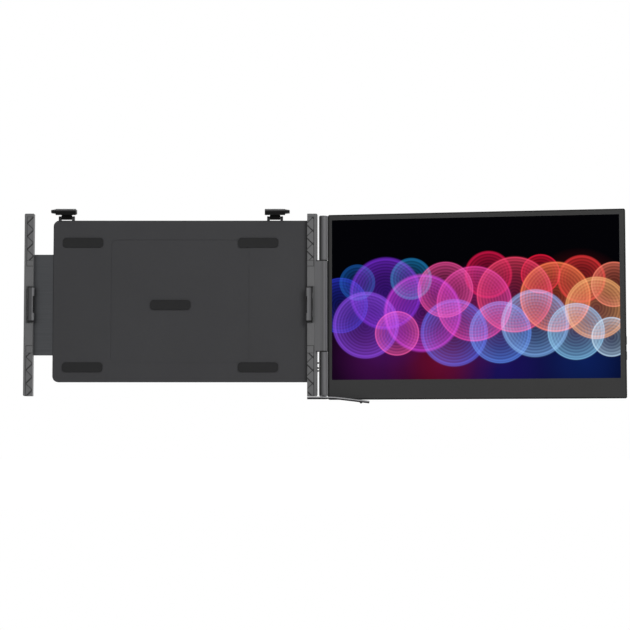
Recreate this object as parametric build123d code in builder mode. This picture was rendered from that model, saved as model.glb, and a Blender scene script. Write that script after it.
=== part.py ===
from build123d import *
import os
from math import acos, cos, radians, sin, tan

os.makedirs("parts", exist_ok=True)

# Clip-on side screen: a clamp frame with a hinged monitor. Millimetres. X runs across
# the frame, Y from the viewer to the back, Z up the columns. The origin is the middle
# of the plane that the clamped panel rests on.

# Space that the clamp closes on
grip_width = 368.0
grip_depth = 6.0
grip_top = 122.4

# Fits
running = 0.05
slip = 0.15
free = 0.3
seat = 0.02

# Columns at both sides
column_height = 245.5
left_column_width = 12.5
right_column_width = 14.0
column_front = -4.5
column_seam = 3.0
column_wall = 1.8
column_end_wall = 2.0
column_round = 2.2
column_corner = 2.0

# Housing between the columns
housing_front = 1.0
housing_seam = 5.0
housing_back = 9.0
housing_wall = 1.8
housing_left = -158.0
housing_top = 114.0
housing_bottom = -104.0
housing_round = 8.0
edge_break = 0.8
panel_recess = 0.5
panel_inset = 26.0
panel_side_inset = 78.0

# Arm plate, its rails and its travel
plate_thickness = 2.0
arm_height = 136.0
arm_inner_end = -72.0
arm_out_travel = 25.0
arm_in_travel = 17.0
rail_length = 86.0
rail_height = 6.0
rail_grip = 3.0
bracket_height = 120.0
bracket_left = 110.0
window_round = 6.0

# Small screws with flat heads, sunk flush at the back
screw_radius = 0.95
head_radius = 2.1
head_height = 1.0
boss_radius = 2.6
screw_tip_gap = 0.4
stop_x = -110.0
stop_z = 35.0
housing_screw_inset = 12.0
bracket_screw_x = 164.0
plate_screw_z = (-42.0, 42.0)
clip_z = (-108.0, -78.0, 78.0, 108.0)
clip_height = 4.0
clip_end = 6.0

# Soft pads on the housing
pad_length = 54.0
pad_height = 13.0
pad_x = 118.0
pad_z = 84.0
pad_sunk = 0.6

# Diamond grooves on the columns
groove_wide = 0.95
groove_fine = 0.5
groove_depth = 0.45
lattice_pitch = 17.75
strip_top = 118.4
upper_lattice_end = 59.5
upper_block_end = 51.7
lower_block_end = -55.1
lower_lattice_end = -65.0
right_strip_margin = 4.9
left_strip_margin = 3.5
right_lattice_margin = 6.7
left_lattice_margin = 3.8
right_lattice_upper = 99.8
left_lattice_upper = 92.0
lattice_lower = -70.4

# Claws that hold the sides
claw_height = 48.4
claw_overlap = 2.0
claw_width = 9.4
claw_front = -8.5
claw_pin_inset = 5.8
claw_pin_y = -5.6
claw_pin_radius = 0.8
claw_knuckle_radius = 1.6
claw_ear_radius = 1.55
claw_ear_height = 7.0
claw_ear_z = 12.0
claw_round = 2.4
claw_notch_height = 22.8
claw_notch_depth = 2.0
claw_pad_sunk = 0.6
claw_end_break = 2.0
claw_slot_width = 1.8
claw_slot_depth = 1.0

# Hooks over the top
hook_x = 140.65
hook_width = 27.3
hook_tip = 6.2
hook_top = 128.9
hook_bar_height = 6.0
hook_front = -8.5
hook_back = 7.4
hook_lip_thickness = 2.2
hook_lip_drop = 120.4
hook_pin_y = 5.0
hook_pin_z = 117.8
hook_pin_radius = 1.0
hook_stem_width = 14.0
hook_stem_half = 2.4
hook_ear_width = 3.6
hook_ear_radius = 2.4
hook_tip_depth = 9.0
hook_pad_length = 22.0
hook_pad_width = 4.0
hook_pad_sunk = 0.5
hook_round = 1.6

# Three-part barrel hinge at the right column
barrel_radius = 5.5
barrel_gap = 2.05
barrel_top_inset = 3.15
barrel_bottom_inset = 0.05
frame_knuckle_top = 59.6
frame_knuckle_bottom = -63.5
knuckle_gap = 0.6
shaft_radius = 3.0
shaft_grip = 26.0
shaft_end_gap = 3.2
band_radius = 3.9
band_count = 2
band_slit = 1.2
rim_break = 0.6
plug_length = 6.0
bush_length = 5.0
band_gap = 1.0
web_start = 4.1
tongue_reach = 11.9
tongue_front = -2.4
spacer_heights = (-78.4, -85.1, -89.0)
spacer_height = 2.2
spacer_depth = 4.0

# Screen, measured from the hinge axis along its own face
swing = 10.4
active_width = 382.1
active_height = 214.9
active_left = 11.7
active_bottom = -101.35
bezel_left = 5.4
bezel_right = 7.8
bezel_top = 7.3
chin = 26.45
face_depth = 1.0
screen_thickness = 9.0
screen_corner = 2.3
window_corner = 1.0
bezel_plate = 0.8
bezel_rim = 1.2
bezel_break = 0.45
screen_wall = 1.6
back_break = 1.8
glass_margin = 1.6
glass_thickness = 1.2
backlight_thickness = 2.8
leaf_reach = 26.0
leaf_outside = 0.3
leaf_thickness = 2.2
leaf_margin = 4.0
leaf_front_share = 0.6
leaf_screw_shares = (0.2, 0.8)
lip_reach = 2.4
lip_thickness = 1.6
rib_width = 1.2
rib_count = 5
chin_screw_inset = 25.2
chin_split = 5.0
press_count = 6
press_depth = 0.6
press_margin = 8.0

# Board, sockets, speakers and buttons in the chin and the right edge
board_length = 60.0
board_height = 20.0
board_thickness = 1.2
board_end_gap = 1.0
board_standoff = 0.6
peg_radius = 0.9
chip_size = 12.0
chip_height = 1.2
socket_mouth_width = 8.94
socket_mouth_height = 3.26
socket_wall = 0.3
socket_depth = 7.4
socket_pitch = 10.6
tongue_thickness = 0.7
tongue_length = 6.4
speaker_length = 36.0
speaker_height = 15.0
speaker_thickness = 3.8
slot_count = 5
slot_width = 1.5
slot_length = 10.0
slot_pitch = 5.0
button_length = 11.0
button_width = 2.6
button_proud = 0.5
button_travel = 0.4
button_flange = 0.8
button_depth = 6.0
power_button_z = -72.0
menu_button_z = -52.0
switch_size = 3.4
switch_depth = 1.5
switch_body_depth = 0.9

# Foot plate and the leg that swings out under the hinge
foot_tilt = 10.0
foot_left = 21.5
foot_front = 12.3
foot_back = 4.8
foot_thickness = 2.7
foot_corner = 1.0
lug_thickness = 1.5
lug_radius = 4.5
lug_relief = 1.5
lug_front = 6.5
lug_head_height = 1.2
lug_screw_radius = 1.25
lug_screw_length = 5.2
hub_x = 2.3
leg_tongue = 1.25
leg_pin_radius = 1.25
leg_pin_head = 2.1
leg_pin_head_height = 0.4
leg_width = 5.0
leg_thickness = 2.7
leg_length = 59.5
leg_turn = 5.75
leg_overrun = 1.0
leg_drop_start = 9.0
leg_slope = 6.0
leg_bend = 90.0
nub_reach = 48.5
nub_radius = 2.2
nub_tip_radius = 1.0
nub_height = 1.7
nub_stem_radius = 1.1

# Worked out from the sizes above
half_grip = grip_width / 2
half_column = column_height / 2
barrel_top = half_column - barrel_top_inset
barrel_bottom = barrel_bottom_inset - half_column
right_edge = half_grip + right_column_width
axis_x = right_edge + barrel_gap + barrel_radius
axis_y = column_front
housing_width = half_grip - housing_left
housing_mid_x = (half_grip + housing_left) / 2
housing_height = housing_top - housing_bottom
housing_mid_z = (housing_top + housing_bottom) / 2
plate_front = housing_seam - plate_thickness / 2
cavity_front = housing_front + housing_wall
cavity_back = housing_back - housing_wall
screen_left = active_left - bezel_left
screen_right = active_left + active_width + bezel_right
screen_bottom = active_bottom - chin
screen_top = active_bottom + active_height + bezel_top
screen_mid = (screen_left + screen_right) / 2
screen_mid_z = (screen_bottom + screen_top) / 2
screen_width = screen_right - screen_left
screen_height = screen_top - screen_bottom
active_mid = active_left + active_width / 2
active_mid_z = active_bottom + active_height / 2
screen_seam = face_depth + bezel_rim
screen_back = face_depth + screen_thickness
inner_back = screen_back - screen_wall
glass_front = face_depth + bezel_plate
backlight_front = glass_front + glass_thickness
backlight_back = backlight_front + backlight_thickness
column_mid_left = -half_grip - left_column_width / 2
column_mid_right = half_grip + right_column_width / 2
column_cavity_front = column_front + column_wall
plate_back = plate_front + plate_thickness


def front_plane(y):
    """Upright plane facing the viewer at depth y."""
    return Plane.XZ.offset(-y)


def screen_plane(depth):
    """Plane parallel to the swung screen, a distance behind the hinge axis."""
    turn = radians(swing)
    return Plane(
        origin=(axis_x + depth * sin(turn), axis_y + depth * cos(turn), 0),
        x_dir=(cos(turn), -sin(turn), 0),
        z_dir=(-sin(turn), -cos(turn), 0),
    )


def screen_level(z):
    """Level plane through the hinge axis, turned with the screen."""
    turn = radians(swing)
    return Plane(origin=(axis_x, axis_y, z), x_dir=(cos(turn), -sin(turn), 0), z_dir=(0, 0, 1))


def foot_plane(x, y):
    """Plane of the foot plate's top, which tilts against the hinge axis."""
    tilt = radians(foot_tilt)
    return Plane(
        origin=(axis_x + x, axis_y + y, barrel_bottom + y * tan(tilt)),
        x_dir=(1, 0, 0),
        z_dir=(0, -sin(tilt), cos(tilt)),
    )


def back_seats(places, y):
    """Screw seats on a back face at depth y, each with its outward direction."""
    return [Plane(origin=(x, y, z), x_dir=(1, 0, 0), z_dir=(0, 1, 0)).location for x, z in places]


def edge_plane(reach):
    """Upright plane square to the screen's face, looking out of its right edge. Local X
    is up and local Y is towards the viewer."""
    turn = radians(swing)
    return Plane(
        origin=(axis_x + reach * cos(turn), axis_y - reach * sin(turn), 0),
        x_dir=(0, 0, 1),
        z_dir=(cos(turn), -sin(turn), 0),
    )


def screen_back_seats(places):
    """Screw seats on the screen's back, facing away from the viewer."""
    face = screen_plane(screen_back)
    turned = Plane(origin=face.origin, x_dir=face.x_dir, z_dir=-face.z_dir)
    return [turned.location * Location((x, -z, 0)) for x, z in places]


def save(piece, label):
    piece.label = label
    export_step(piece, "parts/" + label + ".step")


def screws(seats, length):
    """Flat-headed screws with their heads flush in their seats."""
    with BuildPart() as group:
        with Locations(*seats):
            top = (Align.CENTER, Align.CENTER, Align.MAX)
            Cylinder(head_radius, head_height, align=top)
            Cylinder(screw_radius, length, align=top)
    return group.part


# Screw places on the housing. Two of the posts stand in the arm plate's windows and
# stop its travel.
corner_places = [
    (housing_left + housing_screw_inset, z)
    for z in (housing_bottom + housing_screw_inset, housing_top - housing_screw_inset)
]
stop_places = [(stop_x, stop_z), (stop_x, -stop_z)]
bracket_places = [(bracket_screw_x, stop_z), (bracket_screw_x, -stop_z)]
post_places = corner_places + stop_places + bracket_places
hook_places = (-hook_x, hook_x)
pad_places = [(side * pad_x, level * pad_z) for side in (-1, 1) for level in (-1, 1)] + [(0, 0)]


def housing_outline():
    """Sketch of the housing: round at the free end, square where the column closes it."""
    with Locations((housing_mid_x, housing_mid_z)):
        Rectangle(housing_width, housing_height)
    fillet(vertices().group_by(Axis.X)[0], housing_round)


def housing_cavity():
    with Locations((housing_mid_x, housing_mid_z)):
        Rectangle(housing_width - 2 * housing_wall, housing_height - 2 * housing_wall)
    fillet(vertices().group_by(Axis.X)[0], housing_round - housing_wall)


def plate_slots():
    """Slots in both end walls of the housing for the arm plate and the hinge bracket."""
    with Locations((housing_left, housing_seam, 0)):
        Box(4 * housing_wall, plate_thickness + 2 * slip, arm_height + 2 * slip, mode=Mode.SUBTRACT)
    with Locations((half_grip, housing_seam, 0)):
        Box(4 * housing_wall, plate_thickness + 2 * slip, bracket_height + 2 * slip, mode=Mode.SUBTRACT)


# Front shell of the housing, with sunk seats for the pads and posts for the screws.
with BuildPart() as housing_front_shell:
    with BuildSketch(front_plane(housing_front)):
        housing_outline()
    extrude(amount=housing_front - housing_seam)
    chamfer(housing_front_shell.faces().sort_by(Axis.Y)[0].edges().sort_by(Axis.X)[:-1], edge_break)
    with BuildSketch(front_plane(cavity_front)):
        housing_cavity()
    extrude(amount=cavity_front - housing_seam, mode=Mode.SUBTRACT)
    with BuildSketch(front_plane(housing_front)):
        with Locations((housing_mid_x, housing_mid_z)):
            RectangleRounded(
                housing_width - 2 * panel_side_inset, housing_height - 2 * panel_inset, housing_round
            )
    extrude(amount=-panel_recess, mode=Mode.SUBTRACT)
    with BuildSketch(front_plane(housing_front)):
        with Locations(*pad_places):
            RectangleRounded(pad_length + 2 * slip, pad_height + 2 * slip, pad_height / 3)
    extrude(amount=-pad_sunk, mode=Mode.SUBTRACT)
    with BuildSketch(front_plane(cavity_front)):
        with Locations(*post_places):
            Circle(boss_radius)
    extrude(amount=cavity_front - housing_seam)
    with BuildSketch(front_plane(housing_seam)):
        with Locations(*post_places):
            Circle(screw_radius + running)
    extrude(amount=housing_seam - cavity_front, mode=Mode.SUBTRACT)
    plate_slots()
save(housing_front_shell.part, "housing_front_shell")

# Rear shell: sunk screw seats and hook ears on the top edge.
with BuildPart() as housing_rear_shell:
    with BuildSketch(front_plane(housing_seam)):
        housing_outline()
    extrude(amount=housing_seam - housing_back)
    chamfer(housing_rear_shell.faces().sort_by(Axis.Y)[-1].edges().sort_by(Axis.X)[:-1], edge_break)
    with BuildSketch(front_plane(housing_seam)):
        housing_cavity()
    extrude(amount=housing_seam - cavity_back, mode=Mode.SUBTRACT)
    with BuildSketch(front_plane(housing_back)):
        with Locations((housing_mid_x, housing_mid_z)):
            RectangleRounded(
                housing_width - 2 * panel_side_inset, housing_height - 2 * panel_inset, housing_round
            )
    extrude(amount=panel_recess, mode=Mode.SUBTRACT)
    with BuildSketch(front_plane(cavity_back)):
        with Locations(*post_places):
            Circle(boss_radius)
    extrude(amount=cavity_back - housing_seam)
    with Locations(*back_seats(post_places, housing_back)):
        CounterBoreHole(
            screw_radius + slip, head_radius + running, head_height, housing_back - housing_seam
        )
    for x in hook_places:
        for side in (-1, 1):
            ear_x = x + side * (hook_stem_width / 2 + slip + hook_ear_width / 2)
            with BuildSketch(Plane.YZ.offset(ear_x - hook_ear_width / 2)):
                with Locations((hook_pin_y, hook_pin_z)):
                    Circle(hook_ear_radius)
                with Locations((hook_pin_y, (hook_pin_z + housing_top) / 2)):
                    Rectangle(2 * hook_ear_radius, hook_pin_z - housing_top)
                with Locations(((hook_pin_y + housing_seam) / 2, housing_top)):
                    Rectangle(2 * hook_ear_radius, 2 * housing_wall)
            extrude(amount=hook_ear_width)
        with Locations(Location((x, hook_pin_y, hook_pin_z), (0, 90, 0))):
            Cylinder(hook_pin_radius + seat, 3 * hook_stem_width, mode=Mode.SUBTRACT)
    plate_slots()
    with BuildSketch(Plane.YZ.offset(housing_left)):
        with Locations((housing_seam, housing_top)):
            Rectangle(3 * hook_ear_radius, 3 * hook_ear_radius, align=(Align.MAX, Align.MAX))
    extrude(amount=housing_width, mode=Mode.SUBTRACT)
save(housing_rear_shell.part, "housing_rear_shell")

# Soft pads in the sunk seats; their fronts are the plane that the panel rests on.
with BuildPart() as rest_pads:
    with BuildSketch(front_plane(0)):
        with Locations(*pad_places):
            RectangleRounded(pad_length, pad_height, pad_height / 3)
    extrude(amount=-housing_front - pad_sunk)
save(rest_pads.part, "rest_pads")

housing_screw_length = housing_back - cavity_front - screw_tip_gap
save(screws(back_seats(post_places, housing_back), housing_screw_length), "housing_screws")

# Low-friction rails that guide the arm plate's upper and lower edges.
rail_left = housing_left + housing_wall
with BuildPart() as slide_rails:
    for side in (-1, 1):
        edge_z = side * arm_height / 2
        with BuildSketch(Plane.YZ.offset(rail_left)):
            with Locations((housing_seam, edge_z + side * (rail_height / 2 - rail_grip))):
                Rectangle(cavity_back - cavity_front, rail_height)
            with Locations((housing_seam, edge_z - side * rail_grip / 2 + side * slip / 2)):
                Rectangle(plate_thickness + 2 * running, rail_grip + slip, mode=Mode.SUBTRACT)
        extrude(amount=rail_length)
save(slide_rails.part, "slide_rails")

# Steel arm plate of the left column. Its long windows run over the stop posts.
plate_end = boss_radius
travel = arm_out_travel + arm_in_travel
with BuildPart() as arm_plate:
    arm_left = column_mid_left - plate_end
    with BuildSketch(front_plane(plate_front)):
        with Locations(((arm_left + arm_inner_end) / 2, 0)):
            RectangleRounded(arm_inner_end - arm_left, arm_height, plate_end)
        for place in stop_places:
            with Locations((place[0] + (arm_out_travel - arm_in_travel) / 2, place[1])):
                SlotOverall(
                    travel + 2 * (boss_radius + free), 2 * (boss_radius + free), mode=Mode.SUBTRACT
                )
        with Locations(((housing_left + arm_inner_end) / 2, 0)):
            RectangleRounded(travel, stop_z, window_round, mode=Mode.SUBTRACT)
        with Locations(*[(column_mid_left, z) for z in plate_screw_z]):
            Circle(screw_radius + slip, mode=Mode.SUBTRACT)
    extrude(amount=-plate_thickness)
save(arm_plate.part, "arm_plate")

# Steel bracket that carries the hinge into the housing.
with BuildPart() as hinge_bracket:
    bracket_right = column_mid_right + plate_end
    with BuildSketch(front_plane(plate_front)):
        with Locations(((bracket_left + bracket_right) / 2, 0)):
            RectangleRounded(bracket_right - bracket_left, bracket_height, plate_end)
        with Locations(*bracket_places):
            Circle(boss_radius + slip, mode=Mode.SUBTRACT)
        with Locations(*[(column_mid_right, z) for z in plate_screw_z]):
            Circle(screw_radius + slip, mode=Mode.SUBTRACT)
        with Locations(((bracket_left + half_grip) / 2, 0)):
            RectangleRounded(stop_z, stop_z, window_round, mode=Mode.SUBTRACT)
    extrude(amount=-plate_thickness)
save(hinge_bracket.part, "hinge_bracket")


def groove_sketch(side, width, margin, lattice_margin, low, high, first_z, block_end):
    """Grooves of one strip: its frame, two sets of crossing diagonals between two
    heights, and a plain block from the lattice to block_end."""
    edge = side * half_grip
    frame = side * (half_grip + width - margin)
    cross = side * (half_grip + width - lattice_margin)
    strip_width = abs(frame - edge)
    rows = int((high - low) / lattice_pitch) + 2
    with BuildSketch(front_plane(column_front)) as grooves:
        for step in range(-rows, rows + 1):
            with Locations(Location((cross, first_z + step * lattice_pitch, 0), (0, 0, -45 * side))):
                Rectangle(4 * width, groove_wide)
            with Locations(Location((cross, first_z + step * lattice_pitch, 0), (0, 0, 45 * side))):
                Rectangle(4 * width, groove_fine)
        with Locations(((edge + frame) / 2, (low + high) / 2)):
            Rectangle(strip_width, high - low, mode=Mode.INTERSECT)
        frame_low = min(low, block_end)
        frame_high = max(high, block_end)
        with Locations((frame, (frame_low + frame_high) / 2)):
            Rectangle(groove_fine, frame_high - frame_low)
        ends = [z for z in (low, high, block_end) if abs(z) < half_column]
        with Locations(*[((edge + frame) / 2, z) for z in ends]):
            Rectangle(strip_width, groove_fine)
    return grooves.sketch


def column_cover(side, width, margin, lattice_margin, upper_phase):
    """Front shell of a column with its grooves, claw seat, claw ears, clips and posts."""
    middle = side * (half_grip + width / 2)
    outer = side * (half_grip + width)
    pin_x = side * (half_grip + claw_pin_inset)
    claw_outer = side * (half_grip - claw_overlap + claw_width)
    outward = Axis((0, 0, 0), (side, 0, 0))
    with BuildPart() as cover:
        with BuildSketch(Plane.XY.offset(-half_column)):
            with Locations((middle, (column_front + column_seam) / 2)):
                Rectangle(width, column_seam - column_front)
            fillet(vertices().group_by(Axis.Y)[0].sort_by(outward)[-1], column_round)
            fillet(vertices().group_by(Axis.Y)[0].sort_by(outward)[0], edge_break / 2)
        extrude(amount=column_height)
        with BuildSketch(front_plane(column_front)):
            with Locations((middle, 0)):
                Rectangle(width, column_height)
            fillet(vertices().group_by(outward)[-1], column_corner)
        extrude(amount=column_front - column_seam, mode=Mode.INTERSECT)
        with BuildSketch(Plane.XY.offset(-half_column + column_end_wall)):
            with Locations((middle, (column_cavity_front + column_seam) / 2)):
                Rectangle(width - 2 * column_wall, column_seam - column_cavity_front)
        extrude(amount=column_height - 2 * column_end_wall, mode=Mode.SUBTRACT)
        with BuildSketch(front_plane(column_cavity_front)):
            with Locations(*[(middle, z) for z in clip_z]):
                Rectangle(width - 2 * column_wall - 2 * slip, clip_height)
        extrude(amount=column_cavity_front - clip_end)
        if side < 0:
            with BuildSketch(front_plane(column_cavity_front)):
                with Locations(*[(middle, z) for z in plate_screw_z]):
                    Circle(boss_radius)
            extrude(amount=column_cavity_front - plate_front)
        with BuildSketch(front_plane(plate_front)):
            with Locations(*[(middle, z) for z in plate_screw_z]):
                Circle(screw_radius + running)
        extrude(amount=plate_front - column_cavity_front, mode=Mode.SUBTRACT)
        upper = groove_sketch(
            side, width, margin, lattice_margin, upper_lattice_end, strip_top, upper_phase,
            upper_block_end,
        )
        extrude(upper, amount=-groove_depth, mode=Mode.SUBTRACT)
        lower = groove_sketch(
            side, width, margin, lattice_margin, -half_column, lower_lattice_end, lattice_lower,
            lower_block_end,
        )
        extrude(lower, amount=-groove_depth, mode=Mode.SUBTRACT)
        # Round seat behind the claw, and a slot that its outer side turns into
        with Locations((pin_x, claw_pin_y, 0)):
            Cylinder(claw_knuckle_radius + free, claw_height + 2 * free, mode=Mode.SUBTRACT)
        slot_outer = claw_outer + side * claw_slot_width
        with Locations(((pin_x + slot_outer) / 2, column_front, 0)):
            Box(
                abs(slot_outer - pin_x), 2 * claw_slot_depth, claw_height + 2 * free,
                mode=Mode.SUBTRACT,
            )
        for ear in (-1, 1):
            with BuildSketch(Plane.XY.offset(ear * claw_ear_z - claw_ear_height / 2)):
                with Locations((pin_x, claw_pin_y)):
                    Circle(claw_ear_radius)
                with Locations((pin_x, (claw_pin_y + column_cavity_front) / 2)):
                    Rectangle(2 * claw_ear_radius, column_cavity_front - claw_pin_y)
            extrude(amount=claw_ear_height)
        with Locations((pin_x, claw_pin_y, 0)):
            Cylinder(claw_pin_radius + seat, claw_height, mode=Mode.SUBTRACT)
        if side > 0:
            # Notch that the hinge web comes out of, and three ribs that space the barrel
            notch_height = frame_knuckle_top - frame_knuckle_bottom + 2 * slip
            notch_z = (frame_knuckle_top + frame_knuckle_bottom) / 2
            with BuildSketch(Plane.XY.offset(notch_z - notch_height / 2)):
                with Locations((outer - web_start - slip, column_front)):
                    Rectangle(width, barrel_radius + slip, align=(Align.MIN, Align.MIN))
            extrude(amount=notch_height, mode=Mode.SUBTRACT)
            spacer_y = axis_y + (barrel_radius + spacer_depth) / 2
            with Locations(*[(outer, spacer_y, z) for z in spacer_heights]):
                Box(2 * (barrel_gap - slip), spacer_depth, spacer_height)
    return cover.part


def column_back(side, width):
    """Rear shell of a column with rib pairs for the clips, posts and sunk screw seats."""
    middle = side * (half_grip + width / 2)
    plate_height = arm_height if side < 0 else bracket_height
    outward = Axis((0, 0, 0), (side, 0, 0))
    with BuildPart() as back:
        with BuildSketch(Plane.XY.offset(-half_column)):
            with Locations((middle, (housing_back + column_seam) / 2)):
                Rectangle(width, housing_back - column_seam)
            fillet(vertices().group_by(Axis.Y)[-1].sort_by(outward)[-1], column_round)
            fillet(vertices().group_by(Axis.Y)[-1].sort_by(outward)[0], edge_break / 2)
        extrude(amount=column_height)
        with BuildSketch(front_plane(column_seam)):
            with Locations((middle, 0)):
                Rectangle(width, column_height)
            fillet(vertices().group_by(outward)[-1], column_corner)
        extrude(amount=column_seam - housing_back, mode=Mode.INTERSECT)
        with BuildSketch(Plane.XY.offset(-half_column + column_end_wall)):
            with Locations((middle, (cavity_back + column_seam) / 2)):
                Rectangle(width - 2 * column_wall, cavity_back - column_seam)
        extrude(amount=column_height - 2 * column_end_wall, mode=Mode.SUBTRACT)
        with BuildSketch(front_plane(cavity_back)):
            clip_step = (clip_height + rib_width) / 2 + slip
            with Locations(*[(middle, z + step) for z in clip_z for step in (-clip_step, clip_step)]):
                Rectangle(width - 2 * column_wall, rib_width)
        extrude(amount=cavity_back - column_seam)
        with BuildSketch(front_plane(plate_back)):
            with Locations(*[(middle, z) for z in plate_screw_z]):
                Circle(boss_radius)
        extrude(amount=plate_back - cavity_back)
        with Locations(*back_seats([(middle, z) for z in plate_screw_z], housing_back)):
            CounterBoreHole(
                screw_radius + slip, head_radius + running, head_height, housing_back - column_seam
            )
        with Locations((side * half_grip, housing_seam, 0)):
            Box(
                2 * column_wall + slip, plate_thickness + 2 * slip, plate_height + 2 * slip,
                mode=Mode.SUBTRACT,
            )
    return back.part


column_screw_length = housing_back - column_cavity_front - screw_tip_gap
save(
    column_cover(-1, left_column_width, left_strip_margin, left_lattice_margin, left_lattice_upper),
    "left_column_cover",
)
save(
    column_cover(1, right_column_width, right_strip_margin, right_lattice_margin, right_lattice_upper),
    "right_column_cover",
)
save(column_back(-1, left_column_width), "left_column_back")
save(column_back(1, right_column_width), "right_column_back")
for label, middle in (("left_column_screws", column_mid_left), ("right_column_screws", column_mid_right)):
    seats = back_seats([(middle, z) for z in plate_screw_z], housing_back)
    save(screws(seats, column_screw_length), label)


def claw(side):
    """Claw: a rounded bar beside the edge, with a lip that reaches over it."""
    pin_x = side * (half_grip + claw_pin_inset)
    tip = side * (half_grip - claw_overlap)
    outer = tip + side * claw_width
    bar_inner = side * (half_grip + free)
    bar_back = column_front - free
    lip_back = -grip_depth - free
    outward = Axis((0, 0, 0), (side, 0, 0))
    with BuildPart() as piece:
        with BuildSketch(Plane.XY.offset(-claw_height / 2)):
            with Locations(((bar_inner + outer) / 2, (claw_front + bar_back) / 2)):
                Rectangle(abs(outer - bar_inner), bar_back - claw_front)
            with Locations(((tip + pin_x) / 2, (claw_front + lip_back) / 2)):
                Rectangle(abs(pin_x - tip), lip_back - claw_front)
            fillet(vertices().group_by(Axis.Y)[0].sort_by(outward)[-1], claw_round)
            fillet(vertices().group_by(Axis.Y)[0].sort_by(outward)[0], edge_break)
        extrude(amount=claw_height)
        with BuildSketch(Plane.YZ.offset(min(tip, outer))):
            with Locations(((claw_front + bar_back) / 2, 0)):
                Rectangle(bar_back - claw_front, claw_height)
            chamfer(vertices().group_by(Axis.X)[0], claw_end_break)
        extrude(amount=claw_width, mode=Mode.INTERSECT)
        with Locations((pin_x, claw_pin_y, 0)):
            Cylinder(claw_knuckle_radius, claw_height - 2 * claw_end_break)
        # Lip notch for the soft pad
        with BuildSketch(front_plane(claw_front)):
            with Locations((tip, 0)):
                Rectangle(2 * claw_notch_depth, claw_notch_height)
        extrude(amount=claw_front - lip_back, mode=Mode.SUBTRACT)
        # Room for the column's ears, open to the outer side so that the claw can turn
        ear_clear = claw_ear_radius + free
        for ear in (-1, 1):
            with BuildSketch(Plane.XY.offset(ear * claw_ear_z - claw_ear_height / 2 - free)):
                with Locations((pin_x - side * ear_clear, claw_pin_y - ear_clear)):
                    Rectangle(
                        2 * ear_clear + claw_width, 2 * ear_clear + free,
                        align=(Align.MIN if side > 0 else Align.MAX, Align.MIN),
                    )
            extrude(amount=claw_ear_height + 2 * free, mode=Mode.SUBTRACT)
        with Locations((pin_x, claw_pin_y, 0)):
            Cylinder(claw_pin_radius + running, claw_height, mode=Mode.SUBTRACT)
    return piece.part


def claw_pad(side):
    tip = side * (half_grip - claw_overlap)
    with BuildPart() as pad:
        with BuildSketch(front_plane(claw_front + edge_break)):
            with Locations((tip + side * (claw_notch_depth + claw_pad_sunk) / 2, 0)):
                Rectangle(claw_notch_depth - claw_pad_sunk, claw_notch_height - 2 * slip)
        extrude(amount=claw_front + edge_break + grip_depth + slip)
        chamfer(pad.faces().sort_by(Axis.Y)[0].edges(), claw_pad_sunk / 2)
    return pad.part


def claw_pin(side):
    with BuildPart() as pin:
        with Locations((side * (half_grip + claw_pin_inset), claw_pin_y, 0)):
            Cylinder(claw_pin_radius, claw_height - 2 * claw_end_break)
    return pin.part


def hook(side):
    """Hook: a stem on its pin, a bar over the top edge, a front lip and a finger tip."""
    middle = side * hook_x
    bar_bottom = hook_top - hook_bar_height
    with BuildPart() as piece:
        with BuildSketch(Plane.YZ.offset(middle - hook_width / 2)):
            with Locations(((hook_front + hook_back) / 2, hook_top - hook_bar_height / 2)):
                Rectangle(hook_back - hook_front, hook_bar_height)
            with Locations((hook_front + hook_lip_thickness / 2, (hook_lip_drop + hook_top) / 2)):
                Rectangle(hook_lip_thickness, hook_top - hook_lip_drop)
            fillet(vertices().group_by(Axis.Y)[0], edge_break)
            fillet(vertices().group_by(Axis.Y)[-1].sort_by(Axis.X)[-1], edge_break)
            fillet(vertices().group_by(Axis.Y)[-1].sort_by(Axis.X)[0], hook_round)
        extrude(amount=hook_width)
        chamfer(piece.faces().filter_by(Axis.X).edges(), edge_break / 2)
        with BuildSketch(Plane.YZ.offset(middle - hook_stem_width / 2)):
            with Locations((hook_pin_y, hook_pin_z)):
                Circle(hook_stem_half)
            with Locations((hook_pin_y, (hook_pin_z + bar_bottom) / 2)):
                Rectangle(2 * hook_stem_half, bar_bottom - hook_pin_z + edge_break)
        extrude(amount=hook_stem_width)
        # Tapered tip for the finger, at the outer end
        with BuildSketch(front_plane(hook_front + 2 * edge_break)):
            root = middle + side * (hook_width / 2 - edge_break)
            end = middle + side * (hook_width / 2 + hook_tip)
            with BuildLine():
                Polyline(
                    (root, bar_bottom),
                    (end, bar_bottom + edge_break),
                    (end, hook_top - 2 * edge_break),
                    (root, hook_top - edge_break / 2),
                    close=True,
                )
            make_face()
        extrude(amount=-hook_tip_depth)
        with Locations(Location((middle, hook_pin_y, hook_pin_z), (0, 90, 0))):
            Cylinder(hook_pin_radius + running, hook_width, mode=Mode.SUBTRACT)
        with BuildSketch(Plane.XY.offset(bar_bottom)):
            with Locations((middle, -grip_depth / 2)):
                Rectangle(hook_pad_length + 2 * slip, hook_pad_width + 2 * slip)
        extrude(amount=hook_pad_sunk, mode=Mode.SUBTRACT)
    return piece.part


def hook_pad(side):
    with BuildPart() as pad:
        with BuildSketch(Plane.XY.offset(grip_top + slip)):
            with Locations((side * hook_x, -grip_depth / 2)):
                Rectangle(hook_pad_length, hook_pad_width)
        extrude(amount=hook_top - hook_bar_height + hook_pad_sunk - grip_top - slip)
    return pad.part


for side, name in ((-1, "left"), (1, "right")):
    save(claw(side), name + "_claw")
    save(claw_pad(side), name + "_claw_pad")
    save(claw_pin(side), name + "_claw_pin")
    save(hook(side), name + "_hook")
    save(hook_pad(side), name + "_hook_pad")

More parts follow.
